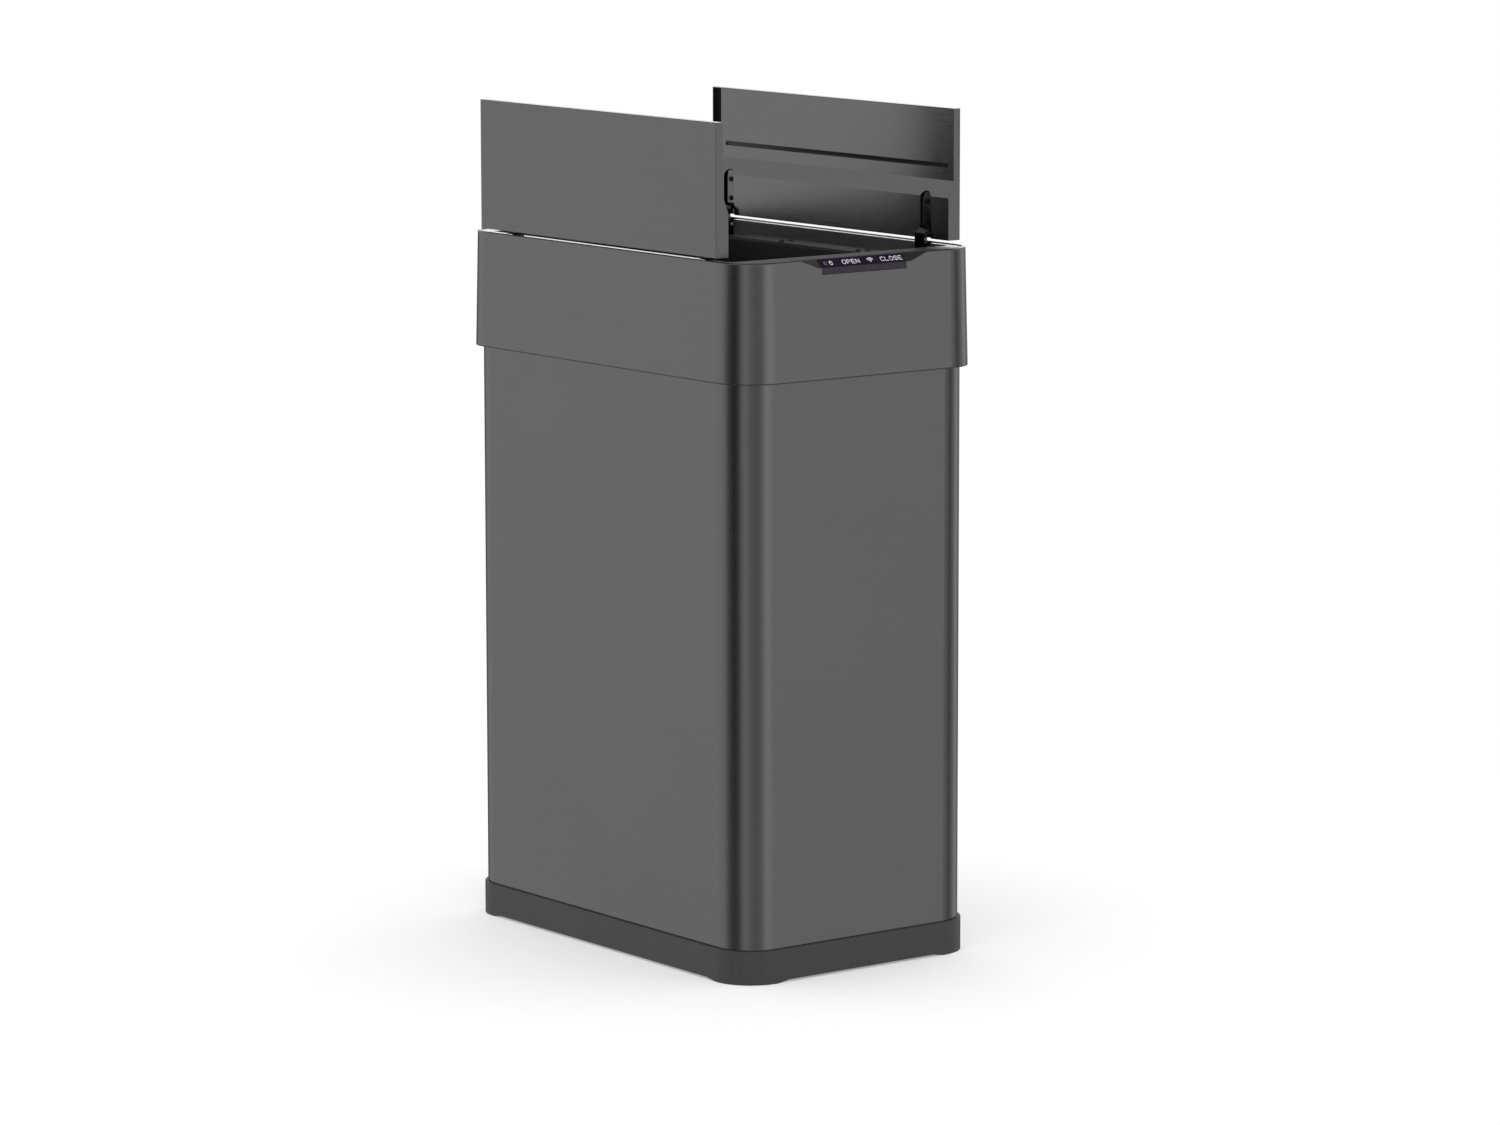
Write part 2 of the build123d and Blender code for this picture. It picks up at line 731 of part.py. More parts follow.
def build_control_board():
    """Circuit board standing on the flange behind the panel, and the parts on it."""
    with BuildPart() as board:
        box_between(
            (-board_length / 2, board_face, flange_top),
            (board_length / 2, board_face + board_thickness, flange_top + board_height),
        )
    save(board.part, "control_board")
    with BuildPart() as fittings:
        for x, z, width, height, depth in board_parts:
            box_between(
                (x - width / 2, board_face - depth, flange_top + z - height / 2),
                (x + width / 2, board_face, flange_top + z + height / 2),
            )
        for x in capacitor_places:
            middle = board_face - capacitor_length / 2
            rod_along_y(capacitor_radius, capacitor_length, x, middle, flange_top + capacitor_height)
    save(fittings.part, "board_components")


# ---------------------------------------------------------------- battery box, switch and inlet

def build_battery_box():
    """Open-backed box for the cells, with bores for the door's pins."""
    with BuildPart() as box:
        box_between((-box_half_length, box_back, box_low), (box_half_length, door_inner, box_high))
        box_between(
            (-box_inner_length / 2, box_back + box_wall, box_low + box_wall),
            (box_inner_length / 2, casing_depth / 2, box_high - box_wall),
            mode=Mode.SUBTRACT,
        )
        for side in (-1, 1):
            ear = side * (box_half_length - box_end_wall / 2)
            rod_along_x(door_knuckle_radius, box_end_wall, ear, door_pivot_y, door_pivot_z)
        bore = door_pin_radius + shaft_clear
        rod_along_x(bore, 2 * box_half_length, 0, door_pivot_y, door_pivot_z, Mode.SUBTRACT)
    save(box.part, "battery_box")


def build_cells():
    """Round cells, two rows of two, each with its raised contact."""
    stations = [(row, column) for row in row_heights for column in range(cells_per_row)]
    for number, (z, column) in enumerate(stations, start=1):
        low = cell_length * (column - cells_per_row / 2)
        can = cell_length - cell_tip_length
        with BuildPart() as cell:
            rod_along_x(cell_radius, can, low + can / 2, cell_y, z)
            fillet(cell.edges().filter_by(GeomType.CIRCLE), cell_edge_radius)
            rod_along_x(cell_tip_radius, cell_tip_length, low + can + cell_tip_length / 2, cell_y, z)
        save(cell.part, f"cell_{number}")


def build_contacts():
    """Contact plates with their spring domes, one at each end of each row."""
    for side, name in ((-1, "left"), (1, "right")):
        with BuildPart() as contact:
            wall = side * box_inner_length / 2
            face = wall - side * contact_thickness
            x0, x1 = sorted((wall, face))
            half = contact_plate / 2
            reach = contact_space - contact_thickness - seat_clear
            for z in row_heights:
                box_between((x0, cell_y - half, z - half), (x1, cell_y + half, z + half))
                rod_along_x(contact_dome_radius, reach, face - side * reach / 2, cell_y, z)
            link = contact_link / 2
            box_between((x0, cell_y - link, row_heights[0]), (x1, cell_y + link, row_heights[-1]))
        save(contact.part, f"battery_contact_{name}")


def build_battery_door():
    """Door over the cells; it swings down on two short pins at its lower edge."""
    with BuildPart() as door:
        box_between((-door_half_width, door_inner, door_pivot_z), (door_half_width, door_outer, door_high))
        rod_along_x(door_knuckle_radius, 2 * door_half_width, 0, door_pivot_y, door_pivot_z)
        pin_length = 2 * (box_half_length - door_pin_end_gap)
        rod_along_x(door_pin_radius, pin_length, 0, door_pivot_y, door_pivot_z)
        with Locations((0, door_outer, door_high - door_grip_drop)):
            Box(door_grip_length, 2 * door_grip_depth, door_grip_height, mode=Mode.SUBTRACT)
    save(door.part, "battery_door")


def build_switch():
    """Rocker switch: a framed body through the casing, and the rocker on its pin."""
    surface = casing_outline(fitting_z - switch_height / 2 - switch_bezel)[1] / 2
    front = surface + switch_bezel_thickness
    half_width = switch_width / 2
    half_height = switch_height / 2
    cavity_half_width = half_width - switch_wall
    cavity_half_height = half_height - switch_wall
    pin_y = surface - rocker_pin_depth
    bezel_x = half_width + switch_bezel
    bezel_z = half_height + switch_bezel
    with BuildPart() as body:
        box_between(
            (switch_x - half_width, surface - switch_depth, fitting_z - half_height),
            (switch_x + half_width, surface, fitting_z + half_height),
        )
        box_between(
            (switch_x - bezel_x, surface, fitting_z - bezel_z),
            (switch_x + bezel_x, front, fitting_z + bezel_z),
        )
        box_between(
            (switch_x - cavity_half_width, pin_y - 2 * rocker_keel, fitting_z - cavity_half_height),
            (switch_x + cavity_half_width, front, fitting_z + cavity_half_height),
            mode=Mode.SUBTRACT,
        )
        bore = rocker_pin_radius + shaft_clear
        rod_along_x(bore, switch_width, switch_x, pin_y, fitting_z, Mode.SUBTRACT)
    save(body.part, "switch_body")
    half = cavity_half_height - rocker_end_gap
    pressed_y = pin_y + rocker_crest - half * sin(radians(rocker_tilt)) / 2
    raised_y = pressed_y + 2 * half * sin(radians(rocker_tilt))
    with BuildPart() as rocker:
        with BuildSketch(Plane.YZ.offset(switch_x)):
            Polygon(
                (pin_y - rocker_keel, fitting_z - half / 2), (pressed_y, fitting_z - half),
                (pin_y + rocker_crest, fitting_z), (raised_y, fitting_z + half),
                (pin_y - rocker_keel / 2, fitting_z + half / 2), align=None,
            )
        extrude(amount=cavity_half_width - rocker_side_gap, both=True)
        rod_along_x(rocker_pin_radius, 2 * (half_width - seat_clear), switch_x, pin_y, fitting_z)
    save(rocker.part, "switch_rocker")


def build_power_inlet():
    """Round low-voltage inlet with its centre pin."""
    surface = casing_outline(fitting_z - jack_bezel_radius)[1] / 2
    with BuildPart() as jack:
        face = Plane((jack_x, surface, fitting_z), x_dir=(1, 0, 0), z_dir=(0, 1, 0))
        with BuildSketch(face) as bezel:
            Circle(jack_bezel_radius)
        extrude(bezel.sketch, amount=jack_bezel_thickness)
        with BuildSketch(face) as barrel:
            Circle(jack_radius)
        extrude(barrel.sketch, amount=-jack_depth)
        mouth = surface + jack_bezel_thickness
        hole_depth = jack_bezel_thickness + jack_depth - jack_end_wall
        rod_along_y(jack_hole_radius, hole_depth, jack_x, mouth - hole_depth / 2, fitting_z, Mode.SUBTRACT)
        pin = hole_depth - jack_bezel_thickness
        rod_along_y(jack_pin_radius, pin, jack_x, surface - jack_depth + jack_end_wall + pin / 2, fitting_z)
    save(jack.part, "power_inlet")


# ---------------------------------------------------------------- wings


def wing_profile(outer, low, high):
    """Section of a wing in X and Z: thin at the free edge, thick near the hinge."""
    return [
        (outer, low), (outer, high), (wing_inner_thin, high),
        (wing_inner_thin, wing_bottom + thick_zone + slope_zone),
        (wing_inner_thick, wing_bottom + thick_zone), (wing_inner_thick, low),
    ]


def build_wing_skins():
    """Steel trays that form the outside, the free edge and both ends of the wings."""
    with BuildPart() as skin:
        with BuildSketch(Plane.XZ):
            Polygon(*wing_profile(wing_outer_face, wing_bottom, wing_top), align=None)
        extrude(amount=wing_length / 2, both=True)
        fillet(skin.faces().sort_by(Axis.X)[-1].edges(), skin_edge_radius)
        with BuildSketch(Plane.XZ) as inside:
            inner = wing_outer_face - skin_wall
            open_side = wing_inner_thick - cut_margin
            open_bottom = wing_bottom - cut_margin
            Polygon(
                (inner, wing_bottom + skin_wall), (inner, wing_top - skin_wall),
                (open_side, wing_top - skin_wall), (open_side, open_bottom),
                (wing_inner_thin, open_bottom), (wing_inner_thin, wing_bottom + skin_wall), align=None,
            )
        extrude(inside.sketch, amount=wing_length / 2 - skin_wall, both=True, mode=Mode.SUBTRACT)
    save_pair(skin.part, "wing_skin")


def build_wing_liners():
    """Moulded inner panels: ribbed behind, with a groove and a slot for each hinge arm."""
    fit = seat_clear / 2
    outer = wing_outer_face - skin_wall - fit
    front_end = -wing_length / 2 + skin_wall + fit
    rear_end = wing_length / 2 - liner_end_recess
    low = wing_bottom + skin_wall + fit
    high = wing_top - skin_wall - fit
    block_half = pocket_half_width + liner_wall
    with BuildPart() as liner:
        with BuildSketch(Plane.XZ.offset(-rear_end)) as outline:
            Polygon(
                (outer, low), (outer, high), (wing_inner_thin, high),
                (wing_inner_thin, wing_bottom + thick_zone + slope_zone),
                (wing_inner_thick, wing_bottom + thick_zone), (wing_inner_thick, wing_bottom),
                (wing_inner_thin - fit, wing_bottom), (wing_inner_thin - fit, low), align=None,
            )
        extrude(outline.sketch, amount=rear_end - front_end)
        with BuildSketch(Plane.XZ) as hollow:
            floor = low + liner_wall
            Polygon(
                (outer, floor), (outer, high - liner_wall),
                (wing_inner_thin + liner_wall, high - liner_wall),
                (wing_inner_thin + liner_wall, wing_bottom + thick_zone + slope_zone + slope_wall_rise),
                (wing_inner_thick + liner_wall, wing_bottom + thick_zone + slope_wall_rise),
                (wing_inner_thick + liner_wall, floor), align=None,
            )
        cell = arm_y - block_half - liner_wall / 2
        for centre in (-1, 1):
            middle = centre * (cell + liner_wall) / 2
            with BuildPart(mode=Mode.PRIVATE) as room:
                extrude(hollow.sketch.moved(Location((0, middle, 0))), amount=cell / 2, both=True)
            add(room.part, mode=Mode.SUBTRACT)
        groove_top = wing_top - groove_drop
        groove_low = groove_top - groove_height
        with BuildSketch(Plane.XZ.offset(groove_end_margin - rear_end)) as groove:
            Polygon(
                (wing_inner_thin - cut_margin, groove_top), (wing_inner_thin, groove_top),
                (wing_inner_thin + groove_depth, groove_low + groove_lip),
                (wing_inner_thin, groove_low), (wing_inner_thin - cut_margin, groove_low), align=None,
            )
        extrude(groove.sketch, amount=rear_end - front_end - 2 * groove_end_margin, mode=Mode.SUBTRACT)
        slot_top = pivot_z + arm_length + slot_side_gap
        slot_bottom = wing_bottom - cut_margin
        with BuildSketch(Plane.YZ.offset(wing_inner_thick - cut_margin)) as slots:
            for y in (-arm_y, arm_y):
                centre_z = slot_top - pocket_half_width
                with Locations((y, centre_z)):
                    Circle(pocket_half_width)
                with Locations((y, (centre_z + slot_bottom) / 2)):
                    Rectangle(2 * pocket_half_width, centre_z - slot_bottom)
        extrude(slots.sketch, amount=wing_inner_thin - wing_inner_thick + cut_margin, mode=Mode.SUBTRACT)
        bore = screw_radius + shaft_clear
        for y in (-arm_y, arm_y):
            for z in arm_screw_heights:
                rod_along_x(bore, screw_length, arm_face + screw_length / 2, y, z, Mode.SUBTRACT)
    save_pair(liner.part, "wing_liner")


def build_hinge_arms():
    """Goose-neck arms: a plate in the wing's slot, a bevelled neck, and a web to the boss on the shaft."""
    neck_inner = pivot_x - arm_reach
    neck_outer = neck_inner + arm_thickness
    web_low = pivot_z + arm_web_rise - arm_web
    web_high = pivot_z + arm_web_rise
    bevel_low = pivot_z + arm_neck_height
    bevel_high = bevel_low + arm_bevel
    for y, end_name in ((-arm_y, "front"), (arm_y, "rear")):
        with BuildPart() as arm:
            with BuildSketch(Plane.XZ.offset(-y)):
                Polygon(
                    (pivot_x, web_low), (neck_inner, web_low), (neck_inner, bevel_low),
                    (arm_face, bevel_high), (arm_face, arm_end), (arm_back, arm_end),
                    (arm_back, bevel_high - arm_thickness / 2), (neck_outer, bevel_low - arm_thickness / 2),
                    (neck_outer, web_high), (pivot_x, web_high), align=None,
                )
            extrude(amount=arm_width / 2, both=True)
            top_corners = arm.faces().sort_by(Axis.Z)[-1].edges().filter_by(Axis.X)
            fillet(top_corners, arm_width / 2 - round_end_flat)
            rod_along_y(boss_radius, arm_width, pivot_x, y, pivot_z)
            rod_along_y(shaft_radius, arm_width, pivot_x, y, pivot_z, Mode.SUBTRACT)
            for z in arm_screw_heights:
                middle = arm_face + arm_thickness / 2
                rod_along_x(screw_radius + shaft_clear, 2 * arm_thickness, middle, y, z, Mode.SUBTRACT)
        save_pair(arm.part, f"hinge_arm_{end_name}")


def build_arm_screws():
    """Two pan-head screws with crossed drives through each arm into the liner."""
    cross_long = cross_length / 2
    cross_wide = cross_width / 2
    head_low = arm_face - screw_head_height
    cross_low = arm_face - screw_head_height / 2
    for y, end_name in ((-arm_y, "front"), (arm_y, "rear")):
        with BuildPart() as screws:
            for z in arm_screw_heights:
                rod_along_x(screw_radius, screw_length, arm_face + screw_length / 2, y, z)
                rod_along_x(screw_head_radius, screw_head_height, arm_face - screw_head_height / 2, y, z)
            heads = screws.faces().filter_by(Plane.YZ).group_by(Axis.X)[0]
            fillet(heads.edges(), screw_head_height / 2)
            for z in arm_screw_heights:
                for half_y, half_z in ((cross_wide, cross_long), (cross_long, cross_wide)):
                    low = (head_low, y - half_y, z - half_z)
                    high = (cross_low, y + half_y, z + half_z)
                    box_between(low, high, mode=Mode.SUBTRACT)
        save_pair(screws.part, f"arm_screws_{end_name}")


def gear_teeth(teeth, first_angle):
    """Sketch a spur gear: a root disc and slim straight-sided teeth, one of them at first_angle."""
    pitch_radius = gear_module * teeth / 2
    root = pitch_radius - tooth_root_depth * gear_module
    tip = pitch_radius + tooth_tip_height * gear_module
    root_half = tooth_root_share * pi * gear_module
    tip_half = tooth_tip_share * pi * gear_module
    foot = sqrt(root**2 - root_half**2) - seat_clear
    Circle(root)
    with PolarLocations(0, teeth, start_angle=first_angle):
        Polygon((foot, -root_half), (tip, -tip_half), (tip, tip_half), (foot, root_half), align=None)


def build_hinge_shafts():
    """Steel shafts that the arms and the pinions are fixed to."""
    with BuildPart() as shaft:
        rod_along_y(shaft_radius, shaft_length, pivot_x, 0, pivot_z)
        chamfer(shaft.edges().filter_by(GeomType.CIRCLE), shaft_chamfer)
    save_pair(shaft.part, "hinge_shaft")


def build_gears():
    """Pinion on the hinge shaft and the drive gear under it, in mesh."""
    centre_line = degrees(atan2(drive_z - pivot_z, drive_x - pivot_x))
    with BuildPart() as pinion:
        with BuildSketch(Plane((pivot_x, gear_station, pivot_z), x_dir=(1, 0, 0), z_dir=(0, -1, 0))):
            gear_teeth(pinion_teeth, centre_line)
            Circle(shaft_radius, mode=Mode.SUBTRACT)
        extrude(amount=gear_width / 2, both=True)
    save_pair(pinion.part, "hinge_pinion")
    with BuildPart() as gear:
        with BuildSketch(Plane((drive_x, gear_station, drive_z), x_dir=(1, 0, 0), z_dir=(0, -1, 0))):
            gear_teeth(drive_teeth, centre_line + 180 + 180 / drive_teeth)
        extrude(amount=gear_width / 2, both=True)
        axle_middle = gear_station + gear_width / 2 - axle_length / 2
        rod_along_y(axle_radius, axle_length, drive_x, axle_middle, drive_z)
    save_pair(gear.part, "drive_gear")


def build_drive_housings():
    """Sealed gearmotor housings that stand on the flange beside the throat."""
    inner = throat_half_width + throat_wall + seat_clear
    end = gear_station - gear_width / 2 - loose_clear
    start = end - drive_length
    shoulder = recess_half_width + frame_wall + seat_clear
    tower = (shoulder, end - drive_tower_length, flange_top + drive_height / 2)
    bore_length = axle_length - gear_width + loose_clear
    with BuildPart() as housing:
        box_between((inner, start, flange_top), (pocket_outer, end, flange_top + drive_height))
        fillet(housing.edges().filter_by(Axis.Y), drive_edge_radius)
        box_between(tower, (pocket_outer, end, drive_top))
        bore_middle = end - bore_length / 2
        rod_along_y(axle_radius + shaft_clear, bore_length, drive_x, bore_middle, drive_z, Mode.SUBTRACT)
    save_pair(housing.part, "drive_housing")


# ---------------------------------------------------------------- build everything

build_base()
build_foot_pads()
build_body_shell()
build_seam_strip()
build_rim_ring()
build_bag_ring()
build_casing()
build_deck_frame()
build_hinge_rails()
build_bumpers()
build_throat()
build_seat_flange()
build_frame_screws()
build_panel_cradle()
build_sensor_panel()
build_control_board()
build_battery_box()
build_cells()
build_contacts()
build_battery_door()
build_switch()
build_power_inlet()
build_wing_skins()
build_wing_liners()
build_hinge_arms()
build_arm_screws()
build_hinge_shafts()
build_gears()
build_drive_housings()
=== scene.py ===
import logging
import math
from dataclasses import dataclass
from enum import Enum
from typing import Any, Iterable, Sequence

import bpy
from mathutils import Matrix, Vector


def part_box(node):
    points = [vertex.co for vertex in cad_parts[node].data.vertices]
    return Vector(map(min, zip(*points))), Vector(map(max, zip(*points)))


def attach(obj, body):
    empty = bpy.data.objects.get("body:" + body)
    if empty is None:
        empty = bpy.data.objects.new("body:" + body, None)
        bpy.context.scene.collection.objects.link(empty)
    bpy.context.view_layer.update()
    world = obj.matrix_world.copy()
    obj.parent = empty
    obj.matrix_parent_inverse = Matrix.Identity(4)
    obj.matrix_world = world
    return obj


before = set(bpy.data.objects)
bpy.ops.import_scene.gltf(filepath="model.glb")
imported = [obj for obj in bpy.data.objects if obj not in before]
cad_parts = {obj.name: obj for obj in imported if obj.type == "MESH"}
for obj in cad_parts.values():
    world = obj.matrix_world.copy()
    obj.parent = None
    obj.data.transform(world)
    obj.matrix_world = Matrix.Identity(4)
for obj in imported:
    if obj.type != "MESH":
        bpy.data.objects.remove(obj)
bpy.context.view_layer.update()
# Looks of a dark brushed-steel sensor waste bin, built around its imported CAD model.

LOG = logging.getLogger("waste_bin")
MM = 0.001
Point = tuple[float, float]
Mesh = tuple[list[Vector], list[list[int]]]
WHITE = "#FFFFFF"


class Slot(Enum):
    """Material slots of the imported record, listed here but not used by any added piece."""

    GUNMETAL = "gunmetal_steel"
    MOULDING = "black_moulding"
    LENS = "gloss_lens"
    ROCKER = "rocker_plastic"
    NICKEL = "nickel_strip"
    PARTS = "component_black"
    CELL = "cell_can"


class Grain(Enum):
    """Which way the marks of a brush run, as the two fine axes' numbers."""

    LEVEL = (False, False, True)  # lines run level round upright faces
    ALONG = (True, False, True)  # lines run along the bin


class Side(Enum):
    """The two long sides of the bin."""

    LEFT = ("left", -1.0)
    RIGHT = ("right", 1.0)

    @property
    def word(self) -> str:
        """Word that ends the names of this side's nodes.

        Returns:
            left or right.
        """
        return self.value[0]

    @property
    def sign(self) -> float:
        """Sign of X on this side.

        Returns:
            -1 or 1.
        """
        return self.value[1]


ENDS = ("front", "rear")
STROKE_OVERRUN = 0.6  # how far a stroke runs past its end, in half widths

# Plain capitals as lines in a square one wide and one high
LETTERS: dict[str, list[list[Point]]] = {
    "C": [[(1.0, 0.85), (0.75, 1.0), (0.25, 1.0), (0.0, 0.75), (0.0, 0.25), (0.25, 0.0), (0.75, 0.0),
           (1.0, 0.15)]],
    "E": [[(1.0, 1.0), (0.0, 1.0), (0.0, 0.0), (1.0, 0.0)], [(0.0, 0.5), (0.8, 0.5)]],
    "L": [[(0.0, 1.0), (0.0, 0.0), (0.9, 0.0)]],
    "N": [[(0.0, 0.0), (0.0, 1.0), (1.0, 0.0), (1.0, 1.0)]],
    "O": [[(0.25, 0.0), (0.75, 0.0), (1.0, 0.25), (1.0, 0.75), (0.75, 1.0), (0.25, 1.0), (0.0, 0.75),
           (0.0, 0.25), (0.25, 0.0)]],
    "P": [[(0.0, 0.0), (0.0, 1.0), (0.75, 1.0), (1.0, 0.85), (1.0, 0.6), (0.75, 0.45), (0.0, 0.45)]],
    "S": [[(1.0, 0.85), (0.75, 1.0), (0.25, 1.0), (0.0, 0.8), (0.2, 0.55), (0.8, 0.45), (1.0, 0.2),
           (0.75, 0.0), (0.25, 0.0), (0.0, 0.15)]],
}


def linear(hex_colour: str, alpha: float = 1.0) -> tuple[float, float, float, float]:
    """Turns an sRGB hex colour to linear light.

    Args:
        hex_colour: Six hex digits after a hash.
        alpha: Fourth value to give back.

    Returns:
        Red, green, blue and alpha.
    """
    parts = [int(hex_colour[i : i + 2], 16) / 255 for i in (1, 3, 5)]
    lit = [c / 12.92 if c <= 0.04045 else ((c + 0.055) / 1.055) ** 2.4 for c in parts]
    return (lit[0], lit[1], lit[2], alpha)


def add_node(
    tree: bpy.types.NodeTree, kind: str, inputs: dict[Any, Any] | None = None, **settings: Any
) -> bpy.types.Node:
    """Adds a node, sets its attributes, and fills or links its inputs.

    Args:
        tree: Node tree to add to.
        kind: Blender's name of the node type.
        inputs: Values or output sockets by input name or number.
        **settings: Attributes of the node.

    Returns:
        The new node.
    """
    node = tree.nodes.new(kind)
    for name, value in settings.items():
        setattr(node, name, value)
    for key, value in (inputs or {}).items():
        if isinstance(value, bpy.types.NodeSocket):
            tree.links.new(value, node.inputs[key])
        else:
            node.inputs[key].default_value = value
    return node


def remap(
    tree: bpy.types.NodeTree, value: bpy.types.NodeSocket, before: Point, after: Point = (0.0, 1.0),
    smooth: bool = False,
) -> bpy.types.NodeSocket:
    """Maps a range of values to another range, held at both ends.

    Args:
        tree: Node tree to add to.
        value: Socket to map.
        before: The value's two ends.
        after: What those two ends become.
        smooth: Whether the change eases in and out.

    Returns:
        Mapped socket.
    """
    names = ("From Min", "From Max", "To Min", "To Max")
    inputs = {"Value": value, **dict(zip(names, (*before, *after)))}
    kind = "SMOOTHSTEP" if smooth else "LINEAR"
    return add_node(tree, "ShaderNodeMapRange", inputs, interpolation_type=kind).outputs[0]


def blend(
    tree: bpy.types.NodeTree, share: bpy.types.NodeSocket, first: Any, second: Any
) -> bpy.types.NodeSocket:
    """Mixes two colours.

    Args:
        tree: Node tree to add to.
        share: Socket with the second colour's share.
        first: Colour or socket at a share of 0.
        second: Colour or socket at a share of 1.

    Returns:
        Mixed colour's socket.
    """
    return add_node(tree, "ShaderNodeMix", {0: share, 6: first, 7: second}, data_type="RGBA").outputs[2]


# ------------------------------------------------------------------ finishes


@dataclass(frozen=True)
class Finish:
    """What every finish has: a name, a colour, and a surface that is rough on a small scale.

    Attributes:
        name: Name of the Blender material.
        colour: sRGB hex colour of the surface.
        shade: sRGB hex colour of its darker grains.
        roughness: Mean roughness.
        roughness_spread: How far the roughness strays either way.
        grain_mm: Width of one grain, scratch or spark mark.
        grain_length_mm: Length of one mark along the brush, or None where marks are as long as wide.
        relief_mm: Height of the marks.
        patch_mm: Size of the soft patches that handling and rolling leave.
        grain: Which way the marks run.
        metallic: 1 for bare metal.
        anisotropic: Stretch of the highlights across the marks.
        coat: Weight of a clear coat.
        coat_roughness: Roughness of that coat.
        patch_share: How much the patches count against the marks.
        mark_detail: Octaves of the marks' noise.
        mark_contrast: How strong each finer octave is.
        noise_range: Values between which the noise mostly lies.
        least_roughness: Floor under the roughness.
    """

    name: str
    colour: str
    shade: str
    roughness: float
    roughness_spread: float = 0.05
    grain_mm: float = 1.0
    grain_length_mm: float | None = None
    relief_mm: float = 0.02
    patch_mm: float = 90.0
    grain: Grain = Grain.LEVEL
    metallic: float = 0.0
    anisotropic: float = 0.0
    coat: float = 0.0
    coat_roughness: float = 0.1
    patch_share: float = 0.35
    mark_detail: float = 4.0
    mark_contrast: float = 0.62
    noise_range: Point = (0.3, 0.7)
    least_roughness: float = 0.02

    def scale(self) -> tuple[float, float, float]:
        """Works out the pattern's repeats from the marks' real size.

        Returns:
            Repeats per metre along X, Y and Z.
        """
        fine = 1 / (self.grain_mm * MM)
        coarse = 1 / ((self.grain_length_mm or self.grain_mm) * MM)
        return tuple(fine if is_fine else coarse for is_fine in self.grain.value)

    def material(self) -> bpy.types.Material:
        """Makes the material, or gives back the one already made.

        Returns:
            Material with grain in its colour, roughness and relief.
        """
        made = bpy.data.materials.get(self.name)
        if made is not None:
            return made
        made = bpy.data.materials.new(self.name)
        made.use_nodes = True
        made.diffuse_color = linear(self.colour)
        tree = made.node_tree
        tree.nodes.clear()
        place = add_node(tree, "ShaderNodeTexCoord").outputs["Object"]
        stretched = add_node(tree, "ShaderNodeMapping", {"Vector": place, "Scale": self.scale()})
        marks = add_node(
            tree,
            "ShaderNodeTexNoise",
            {
                "Vector": stretched.outputs[0],
                "Scale": 1.0,
                "Detail": self.mark_detail,
                "Roughness": self.mark_contrast,
            },
        )
        patches = add_node(
            tree,
            "ShaderNodeTexNoise",
            {"Vector": place, "Scale": 1 / (self.patch_mm * MM), "Detail": 2.0, "Roughness": 0.5},
        )
        both = add_node(
            tree,
            "ShaderNodeMix",
            {0: self.patch_share, 2: marks.outputs[0], 3: patches.outputs[0]},
            data_type="FLOAT",
        )
        tint = blend(tree, both.outputs[0], linear(self.shade), linear(self.colour))
        smoothest = max(self.least_roughness, self.roughness - self.roughness_spread)
        roughest = self.roughness + self.roughness_spread
        rough = remap(tree, both.outputs[0], self.noise_range, (smoothest, roughest))
        relief = add_node(
            tree,
            "ShaderNodeBump",
            {"Height": marks.outputs[0], "Strength": 1.0, "Distance": self.relief_mm * MM},
        )
        shader = add_node(
            tree,
            "ShaderNodeBsdfPrincipled",
            {
                "Base Color": tint,
                "Metallic": self.metallic,
                "Roughness": rough,
                "Normal": relief.outputs[0],
                "Anisotropic": self.anisotropic,
                "Coat Weight": self.coat,
                "Coat Roughness": self.coat_roughness,
            },
        )
        if self.anisotropic:
            tangent = add_node(tree, "ShaderNodeTangent", direction_type="RADIAL", axis="Z")
            # A quarter turn lays the stretch across lines that run level.
            shader.inputs["Anisotropic Rotation"].default_value = 0.25
            tree.links.new(tangent.outputs[0], shader.inputs["Tangent"])
        add_node(tree, "ShaderNodeOutputMaterial", {"Surface": shader.outputs[0]})
        return made


# Stainless sheet, brushed level and then coated dark: soft upright bands, faint level lines.
# The brush lines are 0.2 mm wide, drawn 1.1 mm wide so that they show.
COATED_STEEL = Finish(
    name="coated_brushed_stainless", colour="#767676", shade="#6B6B6C", roughness=0.2,
    roughness_spread=0.03, grain_mm=1.1, grain_length_mm=70.0, relief_mm=0.004, patch_mm=160.0,
    metallic=1.0, anisotropic=0.4,
)
# Moulded ABS with a brushed-metal film on it: darker and glossier than the steel.
BRUSHED_FILM = Finish(
    name="brushed_film_on_abs", colour="#7E7E7F", shade="#6C6C6D", roughness=0.22,
    grain_mm=1.8, grain_length_mm=18.0, relief_mm=0.011, patch_mm=120.0, metallic=1.0, anisotropic=0.5,
)
# Deck and recess: the same film, laid with its lines along the bin.
DECK_FILM = Finish(
    name="brushed_film_on_deck", colour="#78787A", shade="#4C4C4D", roughness=0.17,
    roughness_spread=0.06, grain_mm=1.6, grain_length_mm=40.0, relief_mm=0.008, patch_mm=70.0,
    grain=Grain.ALONG, metallic=0.6,
)
# Spark-eroded polypropylene: even, slightly grey, no clear reflection.
GRAINED_PP = Finish(
    name="spark_grained_polypropylene", colour="#39393A", shade="#313132", roughness=0.48,
    grain_mm=1.2, relief_mm=0.012, patch_mm=60.0,
)
# Polypropylene from a satin mould: the inner parts drop back into black, with a soft sheen.
BLACK_PP = Finish(
    name="satin_moulded_polypropylene", colour="#232324", shade="#1A1A1B", roughness=0.42,
    grain_mm=1.0, relief_mm=0.010, patch_mm=50.0,
)
